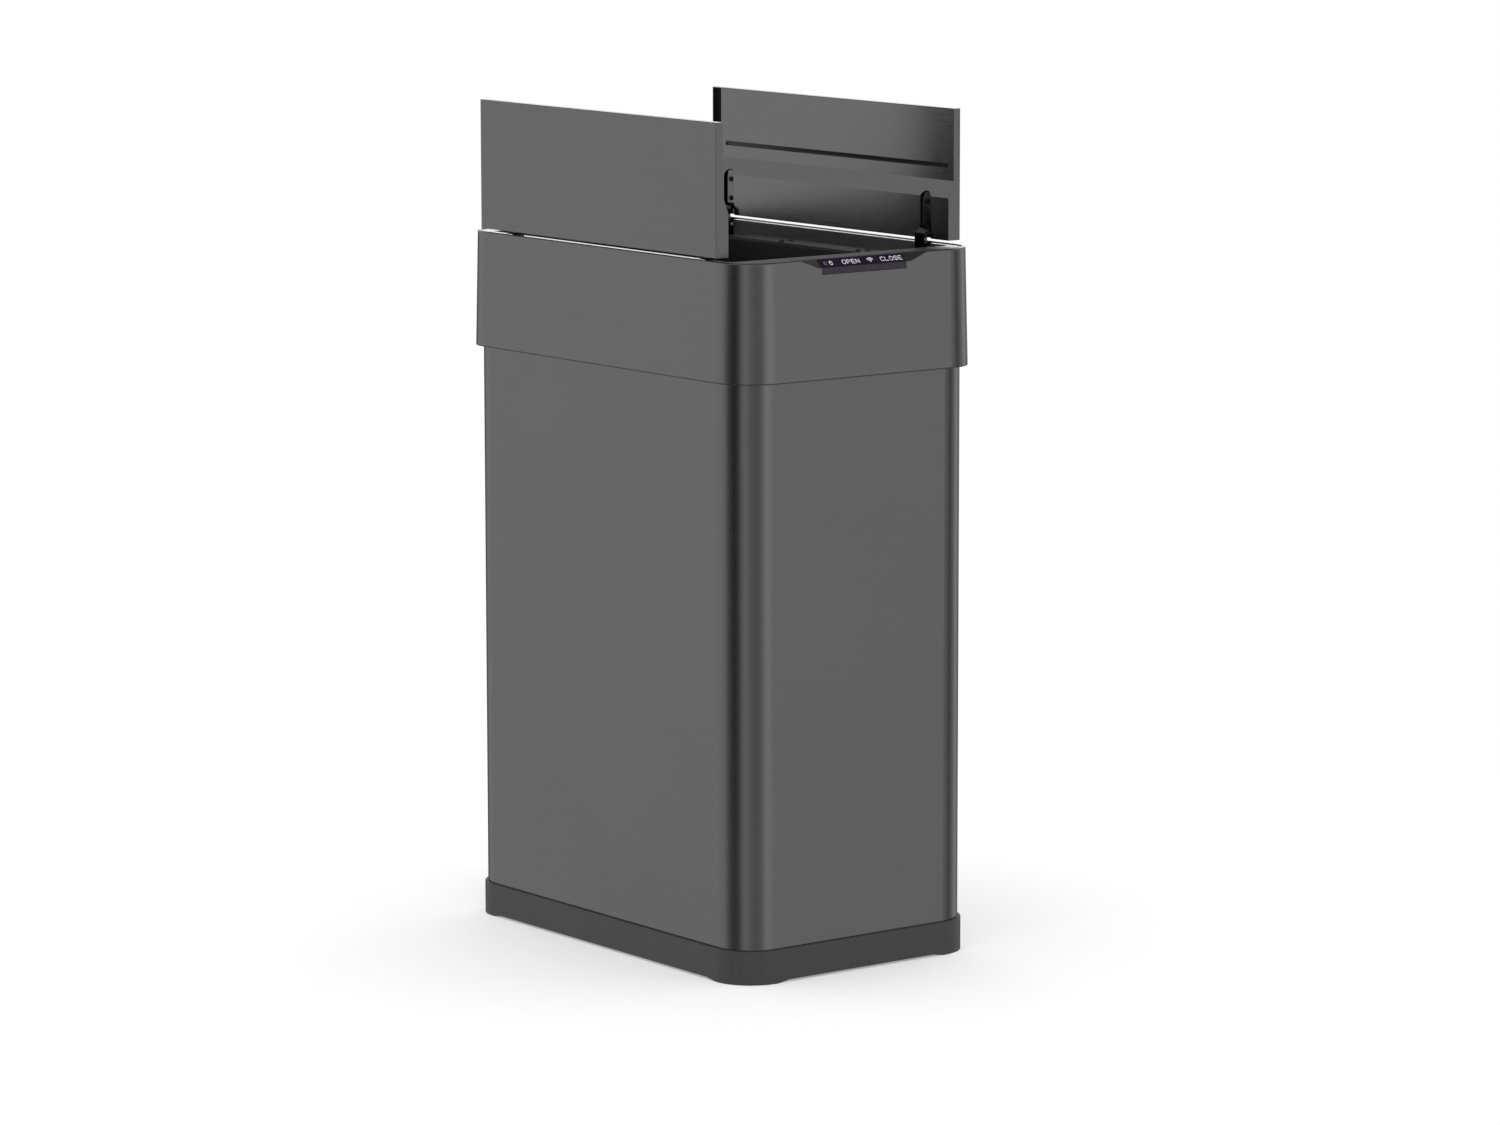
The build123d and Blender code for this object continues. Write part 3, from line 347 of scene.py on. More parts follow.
# Smoked acrylic, polished: a violet-black strip with clear reflections, unlike the metal round it.
SMOKED_ACRYLIC = Finish(
    name="polished_smoked_acrylic", colour="#1B1524", shade="#15111C", roughness=0.09,
    roughness_spread=0.02, grain_mm=6.0, relief_mm=0.001, patch_mm=30.0,
)
# Screen-printed ink: flat and bright, so the signs stand off the gloss.
WHITE_INK = Finish(
    name="screen_printed_white_ink", colour="#E6E4EE", shade="#CFCDDA", roughness=0.55,
    grain_mm=0.3, relief_mm=0.004, patch_mm=5.0,
)
# The same ink in grey: a sign that is there but not lit.
GREY_INK = Finish(
    name="screen_printed_grey_ink", colour="#8B8799", shade="#7C788A", roughness=0.55,
    grain_mm=0.3, relief_mm=0.004, patch_mm=5.0,
)
# ABS from a polished mould: small dark parts with one crisp highlight.
POLISHED_ABS = Finish(
    name="moulded_polished_abs", colour="#2A2A2B", shade="#222223", roughness=0.16,
    roughness_spread=0.04, grain_mm=2.0, relief_mm=0.002, patch_mm=12.0,
)
# Cured nitrile rubber: dull and dusty, no highlight at all.
RUBBER_COMPOUND = Finish(
    name="moulded_nitrile_rubber", colour="#2C2B2A", shade="#211F1E", roughness=0.82,
    roughness_spread=0.08, grain_mm=0.7, relief_mm=0.02, patch_mm=8.0,
)
# Black nickel on pressed steel: a dark mirror with a faint ripple about a millimetre wide.
BLACK_NICKEL = Finish(
    name="black_nickel_plated_steel", colour="#727274", shade="#626264", roughness=0.13,
    grain_mm=1.2, relief_mm=0.006, patch_mm=15.0, metallic=1.0,
)
# Turned steel, zinc plated: light, with short marks round it.
ZINC_PLATE = Finish(
    name="zinc_plated_steel", colour="#C3C5C8", shade="#9A9CA0", roughness=0.28,
    roughness_spread=0.1, grain_mm=0.5, grain_length_mm=3.0, relief_mm=0.003, patch_mm=6.0, metallic=1.0,
)
# Pressed steel, nickel plated: warm and bright.
NICKEL_PLATE = Finish(
    name="nickel_plated_steel", colour="#C9C2B4", shade="#B1AA9C", roughness=0.2,
    roughness_spread=0.06, grain_mm=0.6, grain_length_mm=4.0, relief_mm=0.002, patch_mm=8.0, metallic=1.0,
)
# Moulded acetal: waxy off-white gears.
ACETAL_RESIN = Finish(
    name="moulded_acetal", colour="#E3E1D8", shade="#D5D2C6", roughness=0.33,
    grain_mm=0.6, relief_mm=0.004, patch_mm=6.0,
)
# Fibreglass board under green solder mask: a soft gloss over the weave.
SOLDER_MASK = Finish(
    name="solder_masked_fibreglass", colour="#1F5A33", shade="#17472A", roughness=0.25,
    grain_mm=1.0, grain_length_mm=6.0, relief_mm=0.01, patch_mm=10.0,
)
# Moulded epoxy: flat charcoal blocks on the green board.
EPOXY_PACKAGE = Finish(
    name="moulded_epoxy", colour="#1C1C1D", shade="#131314", roughness=0.5,
    roughness_spread=0.08, grain_mm=0.5, relief_mm=0.006, patch_mm=5.0,
)
# Shrunk film sleeve, printed with a metallic ink: blue-grey under a clear shine.
CELL_SLEEVE = Finish(
    name="printed_cell_sleeve", colour="#55606C", shade="#4A545F", roughness=0.3,
    grain_mm=1.5, grain_length_mm=20.0, relief_mm=0.003, patch_mm=20.0, metallic=0.5, coat=0.5,
)
# Steel dipped black: screws that hardly show on the black hinge plates.
BLACK_OXIDE = Finish(
    name="black_oxide_dipped_steel", colour="#3A3A3C", shade="#2A2A2C", roughness=0.3,
    roughness_spread=0.08, grain_mm=0.4, grain_length_mm=1.2, relief_mm=0.003, patch_mm=4.0, metallic=1.0,
)


# ------------------------------------------------------------------ mesh making


def dress(obj: bpy.types.Object, finish: Finish) -> bpy.types.Object:
    """Puts one finish on every face of an object.

    Args:
        obj: Object to dress.
        finish: Finish to put on it.

    Returns:
        The same object.
    """
    obj.data.materials.clear()
    obj.data.materials.append(finish.material())
    return obj


def dress_node(node: str, finish: Finish) -> None:
    """Dresses a CAD node and reports it.

    Args:
        node: Name of the node.
        finish: Finish to put on it.
    """
    dress(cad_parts[node], finish)
    LOG.info("node %s: %s", node, finish.name)


def make_piece(
    name: str, made: Mesh, finish: Finish, body: str, smooth: bool = False
) -> bpy.types.Object:
    """Makes a mesh piece that rides on a body.

    Args:
        name: Name of the piece.
        made: Corners in metres, in the bin's frame, and the corner numbers of each face.
        finish: Finish to dress it in.
        body: CAD body that carries it.
        smooth: Whether its faces shade as one curved surface.

    Returns:
        The piece.
    """
    verts, faces = made
    mesh = bpy.data.meshes.new(name)
    mesh.from_pydata([tuple(v) for v in verts], [], [tuple(f) for f in faces])
    mesh.validate()
    for polygon in mesh.polygons:
        polygon.use_smooth = smooth
    piece = bpy.data.objects.new(name, mesh)
    bpy.context.scene.collection.objects.link(piece)
    dress(piece, finish)
    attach(piece, body)
    LOG.info("piece %s: %d faces on %s", name, len(faces), body)
    return piece


def prism(outline: Sequence[Point], depth: float, place: Matrix, start: int) -> Mesh:
    """Makes the corners and faces of a flat outline pushed out to a depth.

    Args:
        outline: Corners in metres, anticlockwise.
        depth: Thickness in metres along the place's Z.
        place: Where the outline's plane lies.
        start: Number of the first corner.

    Returns:
        Corners and faces.
    """
    count = len(outline)
    verts = [place @ Vector((x, y, z)) for z in (0.0, depth) for x, y in outline]
    low = [start + i for i in range(count)]
    high = [start + count + i for i in range(count)]
    walls = [[low[i], low[(i + 1) % count], high[(i + 1) % count], high[i]] for i in range(count)]
    return verts, [low[::-1], high] + walls


def prisms(outlines: Iterable[Sequence[Point]], depth: float, place: Matrix) -> Mesh:
    """Joins the prisms of several outlines into one set of corners and faces.

    Args:
        outlines: Outlines in metres, each anticlockwise.
        depth: Thickness in metres along the place's Z.
        place: Where the outlines' plane lies.

    Returns:
        Corners and faces.
    """
    verts: list[Vector] = []
    faces: list[list[int]] = []
    for outline in outlines:
        more, around = prism(outline, depth, place, len(verts))
        verts += more
        faces += around
    return verts, faces


def tube(points: Sequence[Vector], radius: float, sides: int = 10) -> Mesh:
    """Makes a closed round tube along a line of points.

    Args:
        points: Middle line in metres.
        radius: Tube's radius in metres.
        sides: Number of flats round it.

    Returns:
        Corners and faces.
    """
    verts: list[Vector] = []
    faces: list[list[int]] = []
    up = Vector((0.0, 0.0, 1.0))
    for i, point in enumerate(points):
        along = (points[min(i + 1, len(points) - 1)] - points[max(i - 1, 0)]).normalized()
        across = along.cross(up)
        if across.length < 0.1:
            across = along.cross(Vector((1.0, 0.0, 0.0)))
        across.normalize()
        up = across.cross(along)
        for k in range(sides):
            angle = 2 * math.pi * k / sides
            verts.append(point + radius * (math.cos(angle) * across + math.sin(angle) * up))
    for i in range(len(points) - 1):
        for k in range(sides):
            a, b = i * sides + k, i * sides + (k + 1) % sides
            faces.append([a, b, b + sides, a + sides])
    faces.append(list(range(sides)))
    faces.append([len(verts) - sides + k for k in range(sides)][::-1])
    return verts, faces


def box_outline(x: float, y: float, width: float, height: float) -> list[Point]:
    """Gives the corners of a level rectangle.

    Args:
        x: Middle of the rectangle.
        y: Middle of the rectangle.
        width: Size along X.
        height: Size along Y.

    Returns:
        Corners, anticlockwise.
    """
    w, h = width / 2, height / 2
    return [(x - w, y - h), (x + w, y - h), (x + w, y + h), (x - w, y + h)]


def arc_band(
    x: float, y: float, radius: float, stroke: float, start: float, stop: float, steps: int = 12
) -> list[Point]:
    """Outline of a curved stroke.

    Args:
        x: Middle of its circle.
        y: Middle of its circle.
        radius: Radius of the stroke's middle line.
        stroke: Width of the stroke.
        start: First angle in degrees.
        stop: Last angle in degrees.
        steps: Number of straight bits.

    Returns:
        Corners, anticlockwise.
    """
    angles = [math.radians(start + (stop - start) * i / steps) for i in range(steps + 1)]
    far, near = radius + stroke / 2, radius - stroke / 2
    outer = [(x + far * math.cos(a), y + far * math.sin(a)) for a in angles]
    inner = [(x + near * math.cos(a), y + near * math.sin(a)) for a in angles]
    return outer + inner[::-1]


def strokes(points: Sequence[Point], width: float) -> list[list[Point]]:
    """Outlines of a bent line's straight bits, each a little longer than its bit so that they meet.

    Args:
        points: Ends and bends of the line.
        width: Width of the line.

    Returns:
        Four corners for each bit, anticlockwise.
    """
    outlines = []
    for (x0, y0), (x1, y1) in zip(points, points[1:]):
        length = math.hypot(x1 - x0, y1 - y0)
        along = ((x1 - x0) / length * width / 2, (y1 - y0) / length * width / 2)
        x0, y0 = x0 - along[0] * STROKE_OVERRUN, y0 - along[1] * STROKE_OVERRUN
        x1, y1 = x1 + along[0] * STROKE_OVERRUN, y1 + along[1] * STROKE_OVERRUN
        across = (-along[1], along[0])
        outlines.append([
            (x0 - across[0], y0 - across[1]), (x1 - across[0], y1 - across[1]),
            (x1 + across[0], y1 + across[1]), (x0 + across[0], y0 + across[1]),
        ])
    return outlines


def disc(x: float, y: float, radius: float, steps: int = 20) -> list[Point]:
    """Gives the corners of a circle.

    Args:
        x: Middle of the circle.
        y: Middle of the circle.
        radius: Radius of the circle.
        steps: Number of straight bits.

    Returns:
        Corners, anticlockwise.
    """
    angles = [2 * math.pi * i / steps for i in range(steps)]
    return [(x + radius * math.cos(a), y + radius * math.sin(a)) for a in angles]


def ring_halves(y: float, radius: float, wall: float, steps: int = 12) -> list[list[Point]]:
    """Gives a ring as two half bands.

    Args:
        y: Middle of the ring, which lies on X = 0.
        radius: Radius of the wall's middle line.
        wall: Thickness of the wall.
        steps: Number of straight bits in each half.

    Returns:
        Both outlines, anticlockwise.
    """
    return [arc_band(0.0, y, radius, wall, start, start + 180, steps) for start in (0, 180)]


def faced(place: Sequence[float], degrees: float, axis: str = "X") -> Matrix:
    """Gives the place of a flat outline that is turned to face outwards.

    Args:
        place: Middle of the outline.
        degrees: Turn from lying flat.
        axis: Axis of that turn.

    Returns:
        Place and turn as one matrix.
    """
    return Matrix.Translation(place) @ Matrix.Rotation(math.radians(degrees), 4, axis)


# ------------------------------------------------------------------ the bin


@dataclass
class BinBody:
    """Steel wrap on its moulded base, with the rim and bag ring in its mouth.

    Attributes:
        weld_radius: Radius of a spot weld's dimple on the rear seam.
        weld_count: Number of welds.
        weld_height: How far a weld stands proud.
    """

    weld_radius: float = 1.6 * MM
    weld_count: int = 12
    weld_height: float = 0.12 * MM

    def build(self) -> None:
        """Dresses the body's nodes and adds the seam's welds."""
        for node in ("body_shell", "body_seam"):
            dress_node(node, COATED_STEEL)
        dress_node("base", GRAINED_PP)
        for node in ("rim_ring", "bag_ring"):
            dress_node(node, BLACK_PP)
        for end in ENDS:
            for side in Side:
                dress_node(f"foot_pad_{end}_{side.word}", RUBBER_COMPOUND)
        self.build_welds()

    def build_welds(self) -> None:
        """Adds a row of shallow spot welds up the rear seam."""
        low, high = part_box("body_seam")
        pitch = (high.z - low.z) / self.weld_count
        face = faced((0.0, high.y, low.z), -90)
        outlines = [disc(0.0, -pitch * (i + 0.5), self.weld_radius) for i in range(self.weld_count)]
        made = prisms(outlines, self.weld_height, face)
        make_piece("seam_welds", made, COATED_STEEL, "bin")


@dataclass
class LidUnit:
    """Flared casing with the deck, rails, throat and flange inside it.

    Attributes:
        inner_mouldings: Black nodes inside the casing.
        corner: Radius of the casing's corners at its lower edge.
        corner_steps: Straight bits in each corner of the dark strip.
        shade_line_height: Height of the dark strip round the casing's foot, which paints the shade line
            under the casing's edge.
        shade_line_wall: Thickness of that strip.
    """

    inner_mouldings: tuple[str, ...] = ("throat", "seat_flange", "panel_cradle", "battery_box")
    corner: float = 41.5 * MM
    corner_steps: int = 16
    shade_line_height: float = 0.9 * MM
    shade_line_wall: float = 0.1 * MM

    def build(self) -> None:
        """Dresses the lid unit's own nodes."""
        dress_node("lid_casing", COATED_STEEL)
        dress_node("deck_frame", DECK_FILM)
        for node in self.inner_mouldings:
            dress_node(node, BLACK_PP)
        for side in Side:
            dress_node(f"hinge_rail_{side.word}", DECK_FILM)
            dress_node(f"drive_housing_{side.word}", BLACK_PP)
            for end in ENDS:
                dress_node(f"bumper_{end}_{side.word}", RUBBER_COMPOUND)
                dress_node(f"frame_screw_{end}_{side.word}", ZINC_PLATE)
        self.build_shade_line()

    def outline(self, half_width: float, half_depth: float, radius: float) -> list[Point]:
        """Gives the corners of a rounded rectangle about the origin.

        Args:
            half_width: Half its size along X.
            half_depth: Half its size along Y.
            radius: Radius of its corners.

        Returns:
            Corners, anticlockwise.
        """
        points = []
        for x, y, first in ((1, 1, 0), (-1, 1, 90), (-1, -1, 180), (1, -1, 270)):
            for i in range(self.corner_steps + 1):
                angle = math.radians(first + 90 * i / self.corner_steps)
                points.append((
                    x * (half_width - radius) + radius * math.cos(angle),
                    y * (half_depth - radius) + radius * math.sin(angle),
                ))
        return points

    def build_shade_line(self) -> None:
        """Adds a dark strip round the casing's lower edge: painted shade, the thin shadow line where the
        casing meets the body.
        """
        low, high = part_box("lid_casing")
        outer = self.outline(high.x, high.y, self.corner)
        inner = self.outline(high.x - self.shade_line_wall, high.y - self.shade_line_wall, self.corner - self.shade_line_wall)
        count = len(outer)
        top = low.z + self.shade_line_height
        levels = ((outer, low.z), (outer, top), (inner, top), (inner, low.z))
        verts = [Vector((x, y, z)) for points, z in levels for x, y in points]
        faces = [
            [ring * count + i, ring * count + j, after * count + j, after * count + i]
            for ring, after in ((0, 1), (1, 2), (2, 3), (3, 0))
            for i, j in zip(range(count), [*range(1, count), 0])
        ]
        # The strip is painted shade: a dark line that stands in for the shadow under the casing's edge.
        make_piece("casing_painted_shade_line", (verts, faces), BLACK_PP, "lid")


@dataclass
class SensorPanel:
    """Gloss strip in the front edge, with its printed signs and sensor windows.

    Attributes:
        band_height: Height of the strip's upright band.
        slope_depth: How far the sloped face leans back.
        ink: Thickness of the print.
        stroke: Width of a printed line.
        sign_height: Height of a sign or a letter.
        letter_width: Width of a letter.
        letter_pitch: Distance between two letters' middles.
        battery_place: Middle of the low-battery sign, along the strip.
        bin_place: Middle of the bin sign.
        open_place: Middle of the word over the opening key.
        wave_place: Middle of the sensor sign.
        close_place: Middle of the word over the closing key.
        window_radius: Radius of a sensor window.
        window_places: Where the windows are, from the strip's middle.
        window_steps: Straight bits round a window.
    """

    band_height: float = 6.2 * MM
    slope_depth: float = 7.4 * MM
    ink: float = 0.05 * MM
    stroke: float = 0.65 * MM
    sign_height: float = 4.4 * MM
    letter_width: float = 3.7 * MM
    letter_pitch: float = 5.3 * MM
    battery_place: float = -43.5 * MM
    bin_place: float = -36.8 * MM
    open_place: float = -13.5 * MM
    wave_place: float = 9.3 * MM
    close_place: float = 34.0 * MM
    window_radius: float = 1.7 * MM
    window_places: tuple[float, ...] = (4.0 * MM, 11.0 * MM)
    window_steps: int = 28

    def slope_frame(self) -> Matrix:
        """Gives the place of the strip's sloped face.

        Returns:
            Matrix with X along the face, Y up it and Z out of it.
        """
        low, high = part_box("sensor_panel")
        foot = Vector((0.0, low.y, low.z + self.band_height))
        head = Vector((0.0, low.y + self.slope_depth, high.z))
        along = Vector((1.0, 0.0, 0.0))
        up = (head - foot).normalized()
        out = along.cross(up)
        turn = Matrix((along, up, out)).transposed().to_4x4()
        return Matrix.Translation((foot + head) / 2) @ turn

    def word(self, text: str, middle: float) -> list[list[Point]]:
        """Writes a word in single strokes.

        Args:
            text: Letters that LETTERS holds.
            middle: Middle of the word along the strip.

        Returns:
            One outline for each stroke.
        """
        outlines = []
        for i, letter in enumerate(text):
            left = middle + (i - (len(text) - 1) / 2) * self.letter_pitch - self.letter_width / 2
            for line in LETTERS[letter]:
                points = [(left + x * self.letter_width, (y - 0.5) * self.sign_height) for x, y in line]
                outlines += strokes(points, self.stroke)
        return outlines

    def signs(self) -> dict[str, list[list[Point]]]:
        """Draws each printed sign flat, to lie on the sloped face.

        Returns:
            Outlines by the name of the sign's piece.
        """
        s, h = self.stroke, self.sign_height
        cell, can = self.battery_place, self.bin_place
        wave = self.wave_place
        battery = strokes(
            [(cell - h * 0.28, -h * 0.4), (cell + h * 0.28, -h * 0.4), (cell + h * 0.28, h * 0.3),
             (cell - h * 0.28, h * 0.3), (cell - h * 0.28, -h * 0.4)], s * 0.6
        )
        battery.append(box_outline(cell, h * 0.45, h * 0.24, s * 0.6))
        waste_bin = strokes(
            [(can - h * 0.34, h * 0.22), (can - h * 0.26, -h * 0.45), (can + h * 0.26, -h * 0.45),
             (can + h * 0.34, h * 0.22)], s
        )
        waste_bin.append(box_outline(can, h * 0.26, h * 0.92, s))
        waste_bin.append(box_outline(can, h * 0.48, h * 0.34, s))
        sensor = [disc(wave, -h * 0.42, s * 0.8)]
        sensor += [arc_band(wave, -h * 0.42, h * share, s, 35, 145) for share in (0.38, 0.68, 0.98)]
        return {
            "sign_battery": battery, "sign_bin": waste_bin, "sign_open": self.word("OPEN", self.open_place),
            "sign_sensor": sensor, "sign_close": self.word("CLOSE", self.close_place),
        }

    def build(self) -> None:
        """Dresses the strip and adds the print and the sensor windows."""
        dress_node("sensor_panel", SMOKED_ACRYLIC)
        slope = self.slope_frame()
        for name, outlines in self.signs().items():
            ink = GREY_INK if name == "sign_battery" else WHITE_INK
            made = prisms(outlines, self.ink, slope)
            make_piece(name, made, ink, "lid")
        low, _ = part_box("sensor_panel")
        band = faced((0.0, low.y, low.z + self.band_height / 2), 90)
        windows = [disc(x, 0.0, self.window_radius, self.window_steps) for x in self.window_places]
        made = prisms(windows, self.ink, band)
        make_piece("sensor_windows", made, POLISHED_ABS, "lid")


@dataclass
class Electronics:
    """Control board, its parts, and the rear switch and inlet.

    Attributes:
        leg_count: Legs on each side of the controller.
        leg_pitch: Distance between two legs.
        leg_size: Width, reach and thickness of a leg.
        controller: Size of the controller, which the legs stand beside.
        controller_height: Height of its middle above the board's foot.
        mark_stroke: Width of the bar that marks the switch.
        mark_height: Length of that bar.
        mark_inset: How far the marks lie inside the switch's edge.
        mark_ink: Thickness of the marks' ink.
        ring_radius: Radius of the ring that marks the other state.
        ring_stroke: Width of its line.
        sleeve_wall: Wall of the inlet's metal sleeve.
        sleeve_length: Length of that sleeve.
        sleeve_inset: How far its end lies inside the inlet's face.
        sleeve_gap: Room between the sleeve and the hole.
        sleeve_steps: Straight bits in half of it.
        inlet_hole: Radius of the inlet's hole.
    """

    leg_count: int = 8
    leg_pitch: float = 1.6 * MM
    leg_size: tuple[float, float, float] = (0.5 * MM, 1.4 * MM, 0.3 * MM)
    controller: tuple[float, float] = (16.0 * MM, 12.0 * MM)
    controller_height: float = 18.0 * MM
    mark_stroke: float = 0.7 * MM
    mark_height: float = 3.4 * MM
    mark_inset: float = 1.0 * MM
    mark_ink: float = 0.04 * MM
    ring_radius: float = 0.55 * MM
    ring_stroke: float = 0.3 * MM
    sleeve_wall: float = 0.3 * MM
    sleeve_length: float = 8.0 * MM
    sleeve_inset: float = 0.4 * MM
    sleeve_gap: float = 0.05 * MM
    sleeve_steps: int = 16
    inlet_hole: float = 2.9 * MM

    def build(self) -> None:
        """Dresses the nodes and adds the legs, the marks and the sleeve."""
        dress_node("control_board", SOLDER_MASK)
        dress_node("board_components", EPOXY_PACKAGE)
        dress_node("switch_body", BLACK_PP)
        dress_node("switch_rocker", POLISHED_ABS)
        dress_node("power_inlet", BLACK_PP)
        self.build_legs()
        self.build_marks()
        self.build_sleeve()

    def build_legs(self) -> None:
        """Adds the controller's rows of tinned legs."""
        low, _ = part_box("control_board")
        face = faced((0.0, low.y, low.z + self.controller_height), 90)
        width, reach, thickness = self.leg_size
        edge = self.controller[1] / 2 + reach / 2
        first = -self.leg_pitch * (self.leg_count - 1) / 2
        outlines = [
            box_outline(first + self.leg_pitch * i, side * edge, width, reach)
            for side in (-1, 1)
            for i in range(self.leg_count)
        ]
        made = prisms(outlines, thickness, face)
        make_piece("controller_legs", made, ZINC_PLATE, "lid")

    def build_marks(self) -> None:
        """Adds the bar and the ring that mark the switch's two states, beside its frame."""
        low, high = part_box("switch_body")
        middle = Vector(((low.x + high.x) / 2, high.y, (low.z + high.z) / 2))
        face = faced(middle, -90)
        edge = (high.z - low.z) / 2 - self.mark_inset
        bar = box_outline(0.0, -edge, self.mark_height, self.mark_stroke)
        ring = ring_halves(edge, self.ring_radius, self.ring_stroke)
        made = prisms([bar, *ring], self.mark_ink, face)
        make_piece("switch_marks", made, WHITE_INK, "lid")

    def build_sleeve(self) -> None:
        """Adds the metal sleeve just inside the inlet's hole."""
        low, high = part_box("power_inlet")
        middle = Vector(((low.x + high.x) / 2, high.y - self.sleeve_inset, (low.z + high.z) / 2))
        radius = self.inlet_hole - self.sleeve_wall / 2 - self.sleeve_gap
        halves = ring_halves(0.0, radius, self.sleeve_wall, self.sleeve_steps)
        made = prisms(halves, self.sleeve_length, faced(middle, 90))
        make_piece("inlet_sleeve", made, NICKEL_PLATE, "lid")


@dataclass
class BatteryBay:
    """Cells, contacts with their coil springs, and the door.

    Attributes:
        wire: Radius of the spring wire.
        coil_radius: Radius of a spring at its wide end.
        tip_radius: Radius at its narrow end.
        turns: Number of turns.
        rib_count: Number of grip ribs on the door.
        rib_size: Length, height and depth of one rib.
        rib_pitch: Distance between two ribs.
        rib_drop: Top rib below the door's upper edge.
        coil_steps: Straight bits in one turn of a spring.
        coil_sides: Flats round its wire.
        spring_start: Foot of a spring above the contact's far face.
        band_share: Share of a cell's length that its bare band takes.
        band_wall: Thickness of that band.
        band_rise: How far it stands proud of the cell.
        band_steps: Straight bits in half of it.
        tip_length: Length of a cell's tip and shoulder, past the band.
    """

    wire: float = 0.35 * MM
    coil_radius: float = 7.0 * MM
    tip_radius: float = 4.6 * MM
    turns: float = 3.0
    rib_count: int = 7
    rib_size: tuple[float, float, float] = (20.0 * MM, 0.8 * MM, 0.35 * MM)
    rib_pitch: float = 2.2 * MM
    rib_drop: float = 13.0 * MM
    coil_steps: int = 28
    coil_sides: int = 8
    spring_start: float = 0.8 * MM
    band_share: float = 0.2
    band_wall: float = 0.04 * MM
    band_rise: float = 0.03 * MM
    band_steps: int = 32
    tip_length: float = 2.9 * MM

    def build(self) -> None:
        """Dresses the bay's nodes and adds springs, sleeves and ribs."""
        for number in range(1, 5):
            dress_node(f"cell_{number}", CELL_SLEEVE)
            self.build_band(number)
        for side in Side:
            dress_node(f"battery_contact_{side.word}", NICKEL_PLATE)
        dress_node("battery_door", GRAINED_PP)
        self.build_springs()
        self.build_ribs()

    def build_band(self, number: int) -> None:
        """Adds the bare metal band that shows at a cell's positive end.

        Args:
            number: Number of the cell.
        """
        low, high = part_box(f"cell_{number}")
        radius = (high.z - low.z) / 2 + self.band_rise - self.band_wall / 2
        length = (high.x - low.x) * self.band_share
        start = Vector((high.x - self.tip_length - length, (low.y + high.y) / 2, (low.z + high.z) / 2))
        halves = ring_halves(0.0, radius, self.band_wall, self.band_steps)
        made = prisms(halves, length, faced(start, 90, "Y"))
        make_piece(f"cell_{number}_band", made, NICKEL_PLATE, "lid")

    def build_springs(self) -> None:
        """Adds a conical spring round each dome at the cells' flat ends."""
        plate_low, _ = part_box("battery_contact_left")
        for number in (1, 3):
            low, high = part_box(f"cell_{number}")
            middle = Vector((0.0, (low.y + high.y) / 2, (low.z + high.z) / 2))
            start, stop = plate_low.x + self.spring_start, low.x - self.wire
            steps = int(self.turns * self.coil_steps)
            points = []
            for i in range(steps + 1):
                share = i / steps
                angle = 2 * math.pi * self.turns * share
                radius = self.coil_radius + (self.tip_radius - self.coil_radius) * share
                swing = Vector((0.0, radius * math.cos(angle), radius * math.sin(angle)))
                points.append(middle + swing + Vector((start + (stop - start) * share, 0.0, 0.0)))
            made = tube(points, self.wire, self.coil_sides)
            make_piece(f"cell_{number}_spring", made, NICKEL_PLATE, "lid", smooth=True)

    def build_ribs(self) -> None:
        """Adds grip ribs under the door's finger recess."""
        _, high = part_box("battery_door")
        length, height, depth = self.rib_size
        top = high.z - self.rib_drop
        places = [-(top - self.rib_pitch * i) for i in range(self.rib_count)]
        outlines = [box_outline(0.0, place, length, height) for place in places]
        made = prisms(outlines, depth, faced((0.0, high.y, 0.0), -90))
        make_piece("door_ribs", made, GRAINED_PP, "battery_door")


